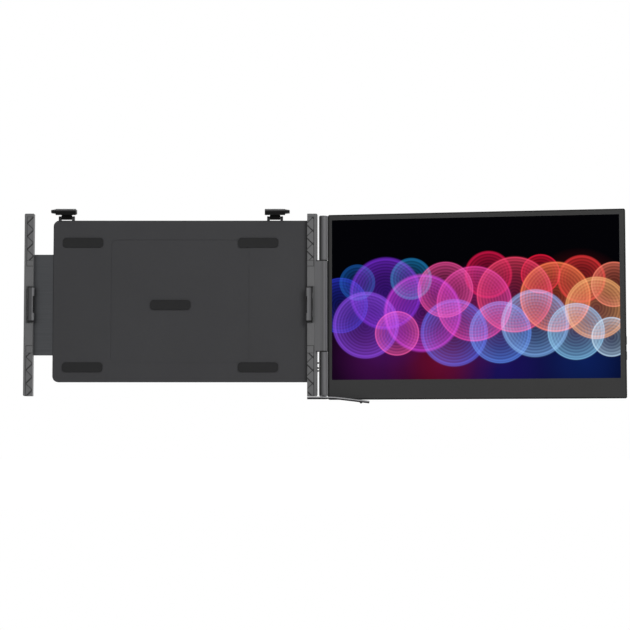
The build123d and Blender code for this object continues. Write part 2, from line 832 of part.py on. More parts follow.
with BuildPart() as hook_pins:
    with Locations(*[Location((x, hook_pin_y, hook_pin_z), (0, 90, 0)) for x in hook_places]):
        Cylinder(hook_pin_radius, hook_stem_width + 2 * (hook_ear_width + slip))
save(hook_pins.part, "hook_pins")

# Middle knuckle of the hinge: barrel, web that runs tangent to it, and a tongue that
# the column's screws hold against the bracket.
web_x = right_edge - web_start
tangent = acos(barrel_radius / (axis_x - web_x))
with BuildPart() as frame_knuckle:
    with BuildSketch(Plane.XY.offset(frame_knuckle_bottom)):
        with BuildLine():
            Polyline(
                (web_x, column_front),
                (axis_x - barrel_radius * cos(tangent), axis_y - barrel_radius * sin(tangent)),
                (axis_x, axis_y),
                (axis_x, axis_y + barrel_radius),
                (web_x + column_wall, axis_y + barrel_radius),
                (web_x + column_wall, plate_front),
                (right_edge - tongue_reach, plate_front),
                (right_edge - tongue_reach, tongue_front),
                (web_x, tongue_front),
                close=True,
            )
        make_face()
        with Locations((axis_x, axis_y)):
            Circle(barrel_radius)
    extrude(amount=frame_knuckle_top - frame_knuckle_bottom)
    with Locations((axis_x, axis_y, frame_knuckle_top), (axis_x, axis_y, frame_knuckle_bottom)):
        Cylinder(shaft_radius + seat, 2 * shaft_grip, mode=Mode.SUBTRACT)
    with BuildSketch(front_plane(plate_front)):
        with Locations(*[(column_mid_right, z) for z in plate_screw_z]):
            Circle(screw_radius + running)
    extrude(amount=plate_front - tongue_front, mode=Mode.SUBTRACT)
save(frame_knuckle.part, "frame_knuckle")


def screen_knuckle(near, far):
    """Knuckle that turns with the screen, from its end at the frame knuckle to its far
    end, with the leaf that reaches into the screen's back."""
    low = min(near, far)
    high = max(near, far)
    toward = 1 if far > near else -1
    outside = screen_left - leaf_outside
    with BuildPart() as knuckle:
        with BuildSketch(screen_level(low)):
            with BuildLine():
                Polyline(
                    (leaf_front_share * barrel_radius, face_depth),
                    (outside, face_depth),
                    (outside, inner_back),
                    (barrel_radius, inner_back),
                    (0, barrel_radius),
                    close=True,
                )
            make_face()
            Circle(barrel_radius)
        extrude(amount=high - low)
        far_end = knuckle.faces().sort_by(Axis.Z)[-1 if toward > 0 else 0]
        chamfer(far_end.edges().filter_by(GeomType.CIRCLE), rim_break)
        with BuildSketch(screen_level(low + leaf_margin)):
            with Locations(((outside + leaf_reach) / 2, inner_back - leaf_thickness / 2)):
                Rectangle(leaf_reach - outside, leaf_thickness)
        extrude(amount=high - low - 2 * leaf_margin)
        with Locations((axis_x, axis_y, (low + high) / 2)):
            Cylinder(shaft_radius + running, high - low, mode=Mode.SUBTRACT)
        with Locations((axis_x, axis_y, (low + high) / 2 + toward * bush_length / 2)):
            Cylinder(band_radius + seat, high - low - bush_length, mode=Mode.SUBTRACT)
        with Locations(*leaf_screw_seats(near, far)):
            Hole(screw_radius + running, screen_wall + 2 * leaf_thickness)
    return knuckle.part


def leaf_screw_seats(near, far):
    """Screw seats on the screen's back over one leaf."""
    x = leaf_reach - 2 * boss_radius
    return screen_back_seats([(x, near + share * (far - near)) for share in leaf_screw_shares])


upper_near = frame_knuckle_top + knuckle_gap
lower_near = frame_knuckle_bottom - knuckle_gap
save(screen_knuckle(upper_near, barrel_top), "upper_knuckle")
save(screen_knuckle(lower_near, barrel_bottom), "lower_knuckle")

# Shafts that the middle knuckle holds and the screen's knuckles turn on
plug_room = plug_length + shaft_end_gap
upper_shaft_reach = barrel_top - plug_room - frame_knuckle_top
lower_shaft_reach = frame_knuckle_bottom - barrel_bottom - plug_room
with BuildPart() as hinge_shafts:
    with Locations((axis_x, axis_y, frame_knuckle_top - shaft_grip)):
        Cylinder(
            shaft_radius, shaft_grip + upper_shaft_reach, align=(Align.CENTER, Align.CENTER, Align.MIN)
        )
    with Locations((axis_x, axis_y, frame_knuckle_bottom + shaft_grip)):
        Cylinder(
            shaft_radius, shaft_grip + lower_shaft_reach, align=(Align.CENTER, Align.CENTER, Align.MAX)
        )
save(hinge_shafts.part, "hinge_shafts")

# Split spring bands inside the knuckles; they grip the shafts and hold the screen's angle.
shorter_knuckle = min(barrel_top - upper_near, lower_near - barrel_bottom)
band_height = (shorter_knuckle - bush_length - plug_room) / band_count - band_gap
with BuildPart() as friction_bands:
    for near, toward in ((upper_near, 1), (lower_near, -1)):
        for step in range(band_count):
            z = near + toward * (bush_length + band_gap + band_height / 2 + step * (band_height + band_gap))
            with BuildSketch(screen_level(z - band_height / 2)):
                Circle(band_radius)
                Circle(shaft_radius + running, mode=Mode.SUBTRACT)
                with Locations((band_radius, 0)):
                    Rectangle(2 * band_radius - 2 * shaft_radius + band_slit, band_slit, mode=Mode.SUBTRACT)
            extrude(amount=band_height)
save(friction_bands.part, "friction_bands")

with BuildPart() as hinge_washers:
    for z in (frame_knuckle_top + seat, frame_knuckle_bottom - knuckle_gap + seat):
        with BuildSketch(Plane(origin=(axis_x, axis_y, z))):
            Circle(barrel_radius - rim_break)
            Circle(shaft_radius + running, mode=Mode.SUBTRACT)
        extrude(amount=knuckle_gap - 2 * seat)
save(hinge_washers.part, "hinge_washers")

# Plugs that close the far ends of the knuckles, with a broken rim
with BuildPart() as barrel_plugs:
    for z, toward in ((barrel_top, 1), (barrel_bottom, -1)):
        with BuildSketch(Plane(origin=(axis_x, axis_y, z), x_dir=(1, 0, 0), z_dir=(0, 0, -toward))):
            Circle(band_radius)
        extrude(amount=plug_length)
        chamfer(barrel_plugs.edges().group_by(Axis.Z)[-1 if toward > 0 else 0], edge_break / 2)
    with Locations((axis_x, axis_y, barrel_bottom)):
        Cylinder(lug_screw_radius + running, 2 * (plug_length - 1), mode=Mode.SUBTRACT)
save(barrel_plugs.part, "barrel_plugs")


to_viewer = Axis(screen_plane(0).origin, screen_plane(0).z_dir)
chin_mid_z = (screen_bottom + active_bottom) / 2
board_right = screen_right - screen_wall - board_end_gap
last_screw_x = board_right - board_length - 2 * boss_radius
chin_screws = [(x, chin_mid_z) for x in (screen_left + chin_screw_inset, screen_mid, last_screw_x)]
glass_width = active_width + 2 * glass_margin
glass_height = active_height + 2 * glass_margin

# Front bezel: one plate with the window, a pocket behind it for the glass, and posts.
with BuildPart() as screen_bezel:
    with BuildSketch(screen_plane(face_depth)):
        with Locations((screen_mid, screen_mid_z)):
            RectangleRounded(screen_width, screen_height, screen_corner)
    extrude(amount=-bezel_rim)
    chamfer(screen_bezel.faces().sort_by(to_viewer)[-1].edges(), bezel_break)
    with BuildSketch(screen_plane(face_depth)):
        with Locations((active_mid, active_mid_z)):
            RectangleRounded(active_width, active_height, window_corner)
    extrude(amount=-bezel_rim, mode=Mode.SUBTRACT)
    with BuildSketch(screen_plane(glass_front)):
        with Locations((active_mid, active_mid_z)):
            Rectangle(glass_width + 2 * slip, glass_height + 2 * slip)
    extrude(amount=glass_front - screen_seam, mode=Mode.SUBTRACT)
    with BuildSketch(screen_plane(screen_seam)):
        with Locations(*chin_screws):
            Circle(boss_radius)
    extrude(amount=screen_seam - chin_split)
    with BuildSketch(screen_plane(chin_split)):
        with Locations(*chin_screws):
            Circle(screw_radius + running)
    extrude(amount=chin_split - screen_seam, mode=Mode.SUBTRACT)
save(screen_bezel.part, "screen_bezel")

with BuildPart() as lcd_glass:
    with BuildSketch(screen_plane(glass_front)):
        with Locations((active_mid, active_mid_z)):
            Rectangle(glass_width, glass_height)
    extrude(amount=-glass_thickness)
save(lcd_glass.part, "lcd_glass")

# Backlight tray: a folded metal box with its back pressed inwards between the ribs.
with BuildPart() as backlight_unit:
    with BuildSketch(screen_plane(backlight_front)):
        with Locations((active_mid, active_mid_z)):
            RectangleRounded(glass_width, glass_height, window_corner)
    extrude(amount=-backlight_thickness)
    with BuildSketch(screen_plane(backlight_back)):
        with Locations((active_mid, active_mid_z)):
            with GridLocations(glass_width / press_count, 0, press_count, 1):
                Rectangle(glass_width / press_count - press_margin, glass_height - press_margin)
    extrude(amount=press_depth, mode=Mode.SUBTRACT)
save(backlight_unit.part, "backlight_unit")

# Rear cover: shell with leaf slots in the hinge side, sockets and buttons in the far
# side, speaker slots, screw posts, board pegs and ribs behind the backlight.
leaf_spans = [
    (upper_near + leaf_margin, barrel_top - leaf_margin),
    (barrel_bottom + leaf_margin, lower_near - leaf_margin),
]
leaf_seats = leaf_screw_seats(upper_near, barrel_top) + leaf_screw_seats(lower_near, barrel_bottom)
rib_depth = backlight_back + slip
board_mid = board_right - board_length / 2
board_front = inner_back - board_standoff - board_thickness
peg_z = chin_mid_z + board_height / 3
peg_places = [(board_mid + side * (board_length / 2 - 2 * peg_radius), peg_z) for side in (-1, 1)]
speaker_reach = last_screw_x - 2 * boss_radius - speaker_length / 2 - screen_mid
speaker_places = [(screen_mid + side * speaker_reach, chin_mid_z) for side in (-1, 1)]
socket_y = -(board_front - socket_mouth_height / 2 - socket_wall)
socket_places = [(chin_mid_z + side * socket_pitch / 2, socket_y) for side in (-1, 1)]
button_heights = (power_button_z, menu_button_z)
with BuildPart() as screen_rear_cover:
    with BuildSketch(screen_plane(screen_seam)):
        with Locations((screen_mid, screen_mid_z)):
            RectangleRounded(screen_width, screen_height, screen_corner)
    extrude(amount=screen_seam - screen_back)
    chamfer(screen_rear_cover.faces().sort_by(to_viewer)[0].edges(), back_break)
    with BuildSketch(screen_plane(screen_seam)):
        with Locations((screen_mid, screen_mid_z)):
            RectangleRounded(
                screen_width - 2 * screen_wall, screen_height - 2 * screen_wall,
                screen_corner - screen_wall,
            )
    extrude(amount=screen_seam - inner_back, mode=Mode.SUBTRACT)
    # Lip that closes the view through the gap behind the middle knuckle
    with BuildSketch(screen_level(frame_knuckle_bottom)):
        with Locations((screen_left - lip_reach, screen_back - back_break)):
            Rectangle(lip_reach + screen_wall, lip_thickness, align=(Align.MIN, Align.MAX))
    extrude(amount=frame_knuckle_top - frame_knuckle_bottom)
    for low, high in leaf_spans:
        with BuildSketch(screen_level(low - slip)):
            with Locations((screen_left + screen_wall / 2, inner_back)):
                Rectangle(2 * screen_wall, leaf_thickness + slip, align=(Align.CENTER, Align.MAX))
        extrude(amount=high - low + 2 * slip, mode=Mode.SUBTRACT)
    with BuildSketch(screen_plane(inner_back)):
        with Locations((active_mid, active_mid_z)):
            with GridLocations(glass_width / rib_count, 0, rib_count - 1, 1):
                Rectangle(rib_width, glass_height - 4 * screen_wall)
    extrude(amount=inner_back - rib_depth)
    with BuildSketch(screen_plane(inner_back)):
        with Locations(*chin_screws):
            Circle(boss_radius)
    extrude(amount=inner_back - chin_split)
    with BuildSketch(screen_plane(inner_back)):
        with Locations(*peg_places):
            Circle(2 * peg_radius)
    extrude(amount=board_standoff)
    with BuildSketch(screen_plane(inner_back)):
        with Locations(*peg_places):
            Circle(peg_radius)
    extrude(amount=board_standoff + board_thickness)
    with Locations(*screen_back_seats(chin_screws)):
        CounterBoreHole(
            screw_radius + slip, head_radius + running, head_height, screen_back - chin_split
        )
    with Locations(*leaf_seats):
        CounterBoreHole(screw_radius + slip, head_radius + running, head_height, screen_wall)
    with BuildSketch(screen_plane(screen_back)):
        for place in speaker_places:
            with Locations(place):
                with GridLocations(slot_pitch, 0, slot_count, 1):
                    SlotOverall(slot_length, slot_width, rotation=90)
    extrude(amount=2 * screen_wall, mode=Mode.SUBTRACT)
    with BuildSketch(edge_plane(screen_right)):
        with Locations(*socket_places):
            SlotOverall(socket_mouth_width, socket_mouth_height)
        with Locations(*[(z, -button_depth) for z in button_heights]):
            SlotOverall(button_length + 2 * slip, button_width + 2 * slip)
    extrude(amount=-2 * screen_wall, mode=Mode.SUBTRACT)
save(screen_rear_cover.part, "screen_rear_cover")

save(screws(screen_back_seats(chin_screws), screen_back - screen_seam - screw_tip_gap), "chin_screws")
save(screws(leaf_seats, screen_wall + leaf_thickness), "leaf_screws")

# Controller board with its chips, on pegs in the chin
with BuildPart() as controller_board:
    with BuildSketch(screen_plane(board_front)):
        with Locations((board_mid, chin_mid_z)):
            RectangleRounded(board_length, board_height, peg_radius)
        with Locations(*peg_places):
            Circle(peg_radius + running, mode=Mode.SUBTRACT)
    extrude(amount=-board_thickness)
    with BuildSketch(screen_plane(board_front)):
        with Locations((board_mid - board_length / 4, chin_mid_z)):
            Rectangle(chip_size, chip_size)
        with Locations((board_mid, chin_mid_z - board_height / 4)):
            with GridLocations(chip_size / 2, 0, 3, 1):
                Rectangle(chip_size / 4, chip_size / 3)
    extrude(amount=chip_height)
save(controller_board.part, "controller_board")

# USB-C receptacles: a drawn shell open to the edge, with the contact tongue inside
with BuildPart() as usb_c_sockets:
    mouth = screen_right - screen_wall
    with BuildSketch(edge_plane(mouth)):
        with Locations(*socket_places):
            SlotOverall(socket_mouth_width + 2 * socket_wall, socket_mouth_height + 2 * socket_wall)
    extrude(amount=-socket_depth)
    with BuildSketch(edge_plane(mouth)):
        with Locations(*socket_places):
            SlotOverall(socket_mouth_width, socket_mouth_height)
    extrude(amount=-socket_depth + 2 * socket_wall, mode=Mode.SUBTRACT)
    with BuildSketch(edge_plane(mouth - socket_depth)):
        with Locations(*socket_places):
            Rectangle(socket_mouth_width - socket_mouth_height + tongue_thickness, tongue_thickness)
    extrude(amount=tongue_length)
save(usb_c_sockets.part, "usb_c_sockets")

with BuildPart() as speakers:
    with BuildSketch(screen_plane(inner_back)):
        with Locations(*speaker_places):
            RectangleRounded(speaker_length, speaker_height, screen_corner)
    extrude(amount=speaker_thickness)
    chamfer(speakers.faces().group_by(to_viewer)[-1].edges(), edge_break / 2)
save(speakers.part, "speakers")


def edge_button(z):
    """Push button in the right edge, kept in by its flange."""
    inside = screen_right - screen_wall - running - button_flange
    with BuildPart() as button:
        with BuildSketch(edge_plane(inside)):
            with Locations((z, -button_depth)):
                SlotOverall(button_length, button_width)
        extrude(amount=screen_right + button_proud - inside)
        outward = Axis(edge_plane(0).origin, edge_plane(0).z_dir)
        chamfer(button.edges().group_by(outward)[-1], button_proud / 2)
        with BuildSketch(edge_plane(inside)):
            with Locations((z, -button_depth)):
                SlotOverall(button_length + button_flange, button_width + button_flange)
        extrude(amount=button_flange)
    return button.part


save(edge_button(power_button_z), "power_button")
save(edge_button(menu_button_z), "menu_button")

# Strip board with the two switches that the buttons press
with BuildPart() as button_board:
    switch_top = screen_right - screen_wall - running - button_flange - button_travel - slip
    board_face = switch_top - switch_depth
    with BuildSketch(edge_plane(board_face)):
        with Locations(((power_button_z + menu_button_z) / 2, -button_depth)):
            RectangleRounded(
                abs(power_button_z - menu_button_z) + button_length, switch_size + 2 * slip, slip * 4
            )
    extrude(amount=-board_thickness / 2)
    with BuildSketch(edge_plane(board_face)):
        with Locations(*[(z, -button_depth) for z in button_heights]):
            Rectangle(switch_size, switch_size)
    extrude(amount=switch_body_depth)
    with BuildSketch(edge_plane(board_face)):
        with Locations(*[(z, -button_depth) for z in button_heights]):
            Circle(switch_size / 4)
    extrude(amount=switch_depth)
save(button_board.part, "button_board")

# Foot bracket under the barrel: a lug screwed to the lower knuckle and a plate that
# tilts level with the table. Its end is halved so that the leg's hub lies flush.
hub_radius = (foot_front - foot_back) / 2
hub_y = -(foot_front + foot_back) / 2
leg_layer = foot_thickness - leg_tongue - slip / 2
hub_place = foot_plane(0, 0).location * Location((hub_x, hub_y, 0))
with BuildPart() as foot_bracket:
    with BuildSketch(foot_plane(0, 0)):
        with Locations(((hub_x - foot_left) / 2, hub_y)):
            RectangleRounded(hub_x + foot_left, 2 * hub_radius, foot_corner)
        with Locations((hub_x - hub_radius / 2, hub_y)):
            Rectangle(hub_radius, 2 * hub_radius)
        with Locations((hub_x, hub_y)):
            Circle(hub_radius)
    extrude(amount=-foot_thickness)
    with BuildSketch(foot_plane(0, 0)):
        with Locations((hub_x, hub_y)):
            Circle(hub_radius + free)
            Rectangle(foot_left, foot_left, align=(Align.MIN, Align.CENTER))
        with Locations((hub_x - leg_width / 2 - 2 * free, hub_y)):
            Rectangle(foot_left, foot_left, align=(Align.MIN, Align.MAX))
    extrude(amount=-(foot_thickness - leg_tongue), mode=Mode.SUBTRACT)
    with BuildSketch(Plane(origin=(axis_x, axis_y, barrel_bottom))):
        Circle(lug_radius)
        with Locations((-lug_relief, 0)):
            Rectangle(lug_radius - lug_relief, lug_front, align=(Align.MAX, Align.MAX))
    extrude(amount=-lug_thickness)
    with Locations((axis_x, axis_y, barrel_bottom)):
        Cylinder(lug_screw_radius + slip, 4 * lug_thickness, mode=Mode.SUBTRACT)
    with Locations(hub_place):
        Cylinder(leg_pin_radius + seat, 4 * foot_thickness, mode=Mode.SUBTRACT)
save(foot_bracket.part, "foot_bracket")

with BuildPart() as lug_screw:
    with Locations((axis_x, axis_y, barrel_bottom - lug_thickness)):
        Cylinder(
            2 * lug_screw_radius, lug_head_height, align=(Align.CENTER, Align.CENTER, Align.MAX)
        )
        Cylinder(
            lug_screw_radius, lug_screw_length,
            align=(Align.CENTER, Align.CENTER, Align.MIN),
        )
save(lug_screw.part, "lug_screw")

# Rivet that the leg turns on, with its flat head over the hub
with BuildPart() as leg_pin:
    with Locations(hub_place):
        Cylinder(leg_pin_radius, foot_thickness, align=(Align.CENTER, Align.CENTER, Align.MAX))
    with Locations(hub_place * Location((0, 0, running))):
        Cylinder(
            leg_pin_head, leg_pin_head_height, align=(Align.CENTER, Align.CENTER, Align.MIN)
        )
    with Locations(hub_place):
        Cylinder(leg_pin_radius, running, align=(Align.CENTER, Align.CENTER, Align.MIN))
save(leg_pin.part, "leg_pin")

# Support leg: half-thickness hub, then a bar that bends down to the table.
leg_start = hub_radius + free
leg_side = Plane(hub_place * Location((0, 0, 0), (0, 0, -leg_turn)) * Location((0, 0, 0), (90, 0, 0)))
bend_end = leg_drop_start + leg_bend * sin(radians(leg_slope))
with BuildPart() as support_leg:
    with BuildSketch(Plane(hub_place)):
        Circle(hub_radius)
        Rectangle(
            leg_start + leg_overrun, leg_width, rotation=-leg_turn, align=(Align.MIN, Align.CENTER)
        )
    extrude(amount=-leg_layer)
    with BuildLine(leg_side) as leg_path:
        Line((leg_start, -leg_thickness / 2), (leg_drop_start, -leg_thickness / 2))
        bend = JernArc(
            start=(leg_drop_start, -leg_thickness / 2), tangent=(1, 0), radius=leg_bend,
            arc_size=-leg_slope,
        )
        Line(bend @ 1, bend @ 1 + (bend % 1) * (leg_length - bend_end))
    with BuildSketch(Plane(origin=leg_path.line @ 0, x_dir=leg_side.z_dir, z_dir=leg_path.line % 0)):
        Rectangle(leg_width, leg_thickness)
    sweep(path=leg_path.line)
    nub_point = bend @ 1 + (bend % 1) * (nub_reach - bend_end)
    nub_plane = Plane(origin=nub_point, x_dir=bend % 1, z_dir=leg_side.z_dir.cross(bend % 1))
    with Locations(hub_place):
        Cylinder(leg_pin_radius + running, 4 * foot_thickness, mode=Mode.SUBTRACT)
    with Locations(nub_plane.location):
        Cylinder(nub_stem_radius, 4 * leg_thickness, mode=Mode.SUBTRACT)
save(support_leg.part, "support_leg")

# Rubber foot: a blunt cone under the leg with its stem through the bar
with BuildPart() as leg_foot:
    with Locations(nub_plane.location * Location((0, 0, -leg_thickness / 2))):
        Cone(
            nub_tip_radius, nub_radius, nub_height, align=(Align.CENTER, Align.CENTER, Align.MAX)
        )
        Cylinder(
            nub_stem_radius - seat, leg_thickness + slip, align=(Align.CENTER, Align.CENTER, Align.MIN)
        )
save(leg_foot.part, "leg_foot")
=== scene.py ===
from math import cos, radians, sin, sqrt, tau

import bpy
from mathutils import Matrix, Vector


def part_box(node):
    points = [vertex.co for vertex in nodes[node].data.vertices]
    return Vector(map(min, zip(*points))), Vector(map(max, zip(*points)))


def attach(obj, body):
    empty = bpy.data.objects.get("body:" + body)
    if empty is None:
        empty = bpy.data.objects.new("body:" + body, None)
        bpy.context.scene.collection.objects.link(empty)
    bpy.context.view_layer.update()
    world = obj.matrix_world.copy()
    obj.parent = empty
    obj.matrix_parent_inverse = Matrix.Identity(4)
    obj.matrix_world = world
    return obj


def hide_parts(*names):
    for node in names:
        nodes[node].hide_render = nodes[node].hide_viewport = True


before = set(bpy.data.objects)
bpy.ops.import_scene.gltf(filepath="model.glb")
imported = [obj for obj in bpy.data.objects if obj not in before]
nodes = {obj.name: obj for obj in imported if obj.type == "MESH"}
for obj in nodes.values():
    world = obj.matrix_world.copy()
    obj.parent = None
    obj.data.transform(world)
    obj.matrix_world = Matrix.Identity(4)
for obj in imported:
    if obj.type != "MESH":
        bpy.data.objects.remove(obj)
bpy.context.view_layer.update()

mm = 0.001
print("frame loaded:", len(nodes), "nodes")


def linearColor(code):
    # sRGB hex to the linear colour that the shaders take
    channels = [int(code[i:i + 2], 16) / 255 for i in (1, 3, 5)]
    return [c / 12.92 if c <= 0.04045 else ((c + 0.055) / 1.055) ** 2.4 for c in channels] + [1.0]


def addNode(tree, kind, settings=None, inputs=None):
    # one node with its settings, and its inputs as values or as links from other sockets
    node = tree.nodes.new(kind)
    for name, value in (settings or {}).items():
        setattr(node, name, value)
    for name, value in (inputs or {}).items():
        socket = node.inputs[name]
        if isinstance(value, bpy.types.NodeSocket):
            tree.links.new(value, socket)
        else:
            socket.default_value = value
    return node


def startMaterial(name, shaderValues):
    # empty material with a Principled shader, its tree and the object's own coordinates
    material = bpy.data.materials.new(name)
    material.use_nodes = True
    tree = material.node_tree
    tree.nodes.clear()
    shader = addNode(tree, "ShaderNodeBsdfPrincipled", inputs=shaderValues)
    addNode(tree, "ShaderNodeOutputMaterial", inputs={"Surface": shader.outputs["BSDF"]})
    coords = addNode(tree, "ShaderNodeTexCoord")
    return material, tree, shader, coords.outputs["Object"]


# Camera and studio
cameraLook = {
    "place": (194.55 * mm, -2650.2 * mm, -200.5 * mm),
    "lookUp": 4.03,  # degrees above level
    "lens": 112.97,
    "sensorWidth": 36,
    "farLimit": 50,
}
bpy.ops.object.select_all(action="DESELECT")
bpy.ops.object.camera_add(
    location=cameraLook["place"], rotation=(radians(90 + cameraLook["lookUp"]), 0, 0)
)
camera = bpy.context.active_object
camera.name = "photoCamera"
camera.data.sensor_width = cameraLook["sensorWidth"]
camera.data.lens = cameraLook["lens"]
camera.data.clip_end = cameraLook["farLimit"]
bpy.context.scene.camera = camera

studioLook = {
    "floorPlace": (0.1, 0, -214 * mm),
    "floorSize": 24,
    "floorColor": "#F4F4F4",
    "floorRoughness": 0.9,
    "floorLift": 0.42,  # what the floor adds for the camera, so that it reads white
    "fadeStart": 0.9,  # metres from the object where the floor turns into the backdrop
    "fadeEnd": 2.2,
    "skyLight": 0.3,
    "skyColor": "#FFFFFF",
    # name: place, aimed at, width, height, watts
    "lamps": {
        "keySoftbox": ((1.5, -2.0, 1.5), (0.2, 0, 0), 1.1, 1.1, 50),
        "fillSoftbox": ((-1.5, -2.0, 0.5), (0.1, 0, 0), 0.7, 1.3, 7),
        "topSoftbox": ((0.2, 0.3, 1.9), (0.2, 0, 0), 1.6, 0.8, 12),
        "backSoftbox": ((-0.6, 2.2, 1.2), (0.1, 0, 0), 1.4, 1.2, 26),
    },
}
for name, (place, target, width, height, watts) in studioLook["lamps"].items():
    bpy.ops.object.light_add(type="AREA", location=place)
    lamp = bpy.context.active_object
    lamp.name = name
    lamp.rotation_euler = (Vector(target) - Vector(place)).to_track_quat("-Z", "Y").to_euler()
    lamp.data.shape = "RECTANGLE"
    lamp.data.size = width
    lamp.data.size_y = height
    lamp.data.energy = watts


def seenShare(tree):
    # 1 for what the camera sees, also in metal and through glass, and 0 for light
    lightPath = addNode(tree, "ShaderNodeLightPath")
    share = lightPath.outputs["Is Camera Ray"]
    for name in ("Is Glossy Ray", "Is Transmission Ray"):
        wider = addNode(
            tree, "ShaderNodeMath", {"operation": "MAXIMUM"}, {0: share, 1: lightPath.outputs[name]}
        )
        share = wider.outputs[0]
    return share


world = bpy.data.worlds.new("paleStudio")
bpy.context.scene.world = world
world.use_nodes = True
world.node_tree.nodes.clear()
lighting = addNode(
    world.node_tree, "ShaderNodeBackground",
    inputs={"Color": linearColor(studioLook["skyColor"]), "Strength": studioLook["skyLight"]},
)
backdrop = addNode(
    world.node_tree, "ShaderNodeBackground",
    inputs={"Color": linearColor(studioLook["skyColor"]), "Strength": 1.0},
)
skyMix = addNode(
    world.node_tree, "ShaderNodeMixShader",
    inputs={0: seenShare(world.node_tree), 1: lighting.outputs[0], 2: backdrop.outputs[0]},
)
addNode(world.node_tree, "ShaderNodeOutputWorld", inputs={"Surface": skyMix.outputs[0]})

# Floor: paper that keeps the shadow near the object and fades into the backdrop
bpy.ops.object.select_all(action="DESELECT")
bpy.ops.mesh.primitive_plane_add(size=studioLook["floorSize"], location=studioLook["floorPlace"])
floor = bpy.context.active_object
floor.name = "studioFloor"
floorMaterial, tree, shader, place = startMaterial(
    "paleStudioPaper",
    {"Base Color": linearColor(studioLook["floorColor"]), "Roughness": studioLook["floorRoughness"],
     "Specular IOR Level": 0.0, "Emission Color": linearColor(studioLook["skyColor"])},
)
seen = seenShare(tree)
lift = addNode(
    tree, "ShaderNodeMath", {"operation": "MULTIPLY"}, {0: seen, 1: studioLook["floorLift"]}
)
tree.links.new(lift.outputs[0], shader.inputs["Emission Strength"])
away = addNode(tree, "ShaderNodeVectorMath", {"operation": "LENGTH"}, {0: place})
fade = addNode(
    tree, "ShaderNodeMapRange", {"interpolation_type": "SMOOTHSTEP"},
    {"Value": away.outputs["Value"], "From Min": studioLook["fadeStart"],
     "From Max": studioLook["fadeEnd"]},
)
fadeSeen = addNode(
    tree, "ShaderNodeMath", {"operation": "MULTIPLY"}, {0: fade.outputs["Result"], 1: seen}
)
plainSky = addNode(
    tree, "ShaderNodeEmission",
    inputs={"Color": linearColor(studioLook["skyColor"]), "Strength": 1.0},
)
floorMix = addNode(
    tree, "ShaderNodeMixShader",
    inputs={0: fadeSeen.outputs[0], 1: shader.outputs["BSDF"], 2: plainSky.outputs[0]},
)
output = [node for node in tree.nodes if node.type == "OUTPUT_MATERIAL"][0]
tree.links.new(floorMix.outputs[0], output.inputs["Surface"])
floor.data.materials.append(floorMaterial)
bpy.context.scene.view_settings.view_transform = "Standard"
print("camera and studio ready")

# Materials. Drift, grain and bump depth are in mm. The real grain of these finishes is
# 0.02 to 0.2 mm, too fine to show, so it is drawn at 0.2 to 0.9 mm. All of them keep the
# shader's default IOR of 1.5, which is also that of the plastics.
noiseLook = {
    "driftDetail": 2.0,
    "grainDetail": 1.0,
    "grainRange": (0.3, 0.7),  # where most of the noise lies, stretched to the whole speck
}


def grainedMaterial(name, look):
    # a solid colour broken up by slow tone drift and a fine even grain
    material, tree, shader, place = startMaterial(
        name,
        {"Metallic": look.get("metallic", 0.0), "Specular IOR Level": look.get("specular", 0.5)},
    )
    drift = addNode(
        tree, "ShaderNodeTexNoise",
        inputs={"Vector": place, "Scale": 1 / (look["driftSize"] * mm),
                "Detail": noiseLook["driftDetail"]},
    )
    grain = addNode(
        tree, "ShaderNodeTexNoise",
        inputs={"Vector": place, "Scale": 1 / (look["grainSize"] * mm),
                "Detail": noiseLook["grainDetail"]},
    )
    tone = addNode(
        tree, "ShaderNodeMix", {"data_type": "RGBA"},
        {"Factor": drift.outputs["Fac"], "A": linearColor(look["dark"]),
         "B": linearColor(look["light"])},
    )
    lowest, highest = noiseLook["grainRange"]
    speck = addNode(
        tree, "ShaderNodeMapRange",
        inputs={"Value": grain.outputs["Fac"], "From Min": lowest, "From Max": highest,
                "To Min": 1 - look["speck"], "To Max": 1 + look["speck"]},
    )
    color = addNode(
        tree, "ShaderNodeVectorMath", {"operation": "SCALE"},
        {0: tone.outputs["Result"], "Scale": speck.outputs["Result"]},
    )
    rough = addNode(
        tree, "ShaderNodeMapRange",
        inputs={"Value": grain.outputs["Fac"], "To Min": look["rough"][0],
                "To Max": look["rough"][1]},
    )
    bump = addNode(
        tree, "ShaderNodeBump",
        inputs={"Height": grain.outputs["Fac"], "Strength": look["bump"],
                "Distance": look["bumpDepth"] * mm},
    )
    tree.links.new(color.outputs[0], shader.inputs["Base Color"])
    tree.links.new(rough.outputs["Result"], shader.inputs["Roughness"])
    tree.links.new(bump.outputs["Normal"], shader.inputs["Normal"])
    return material


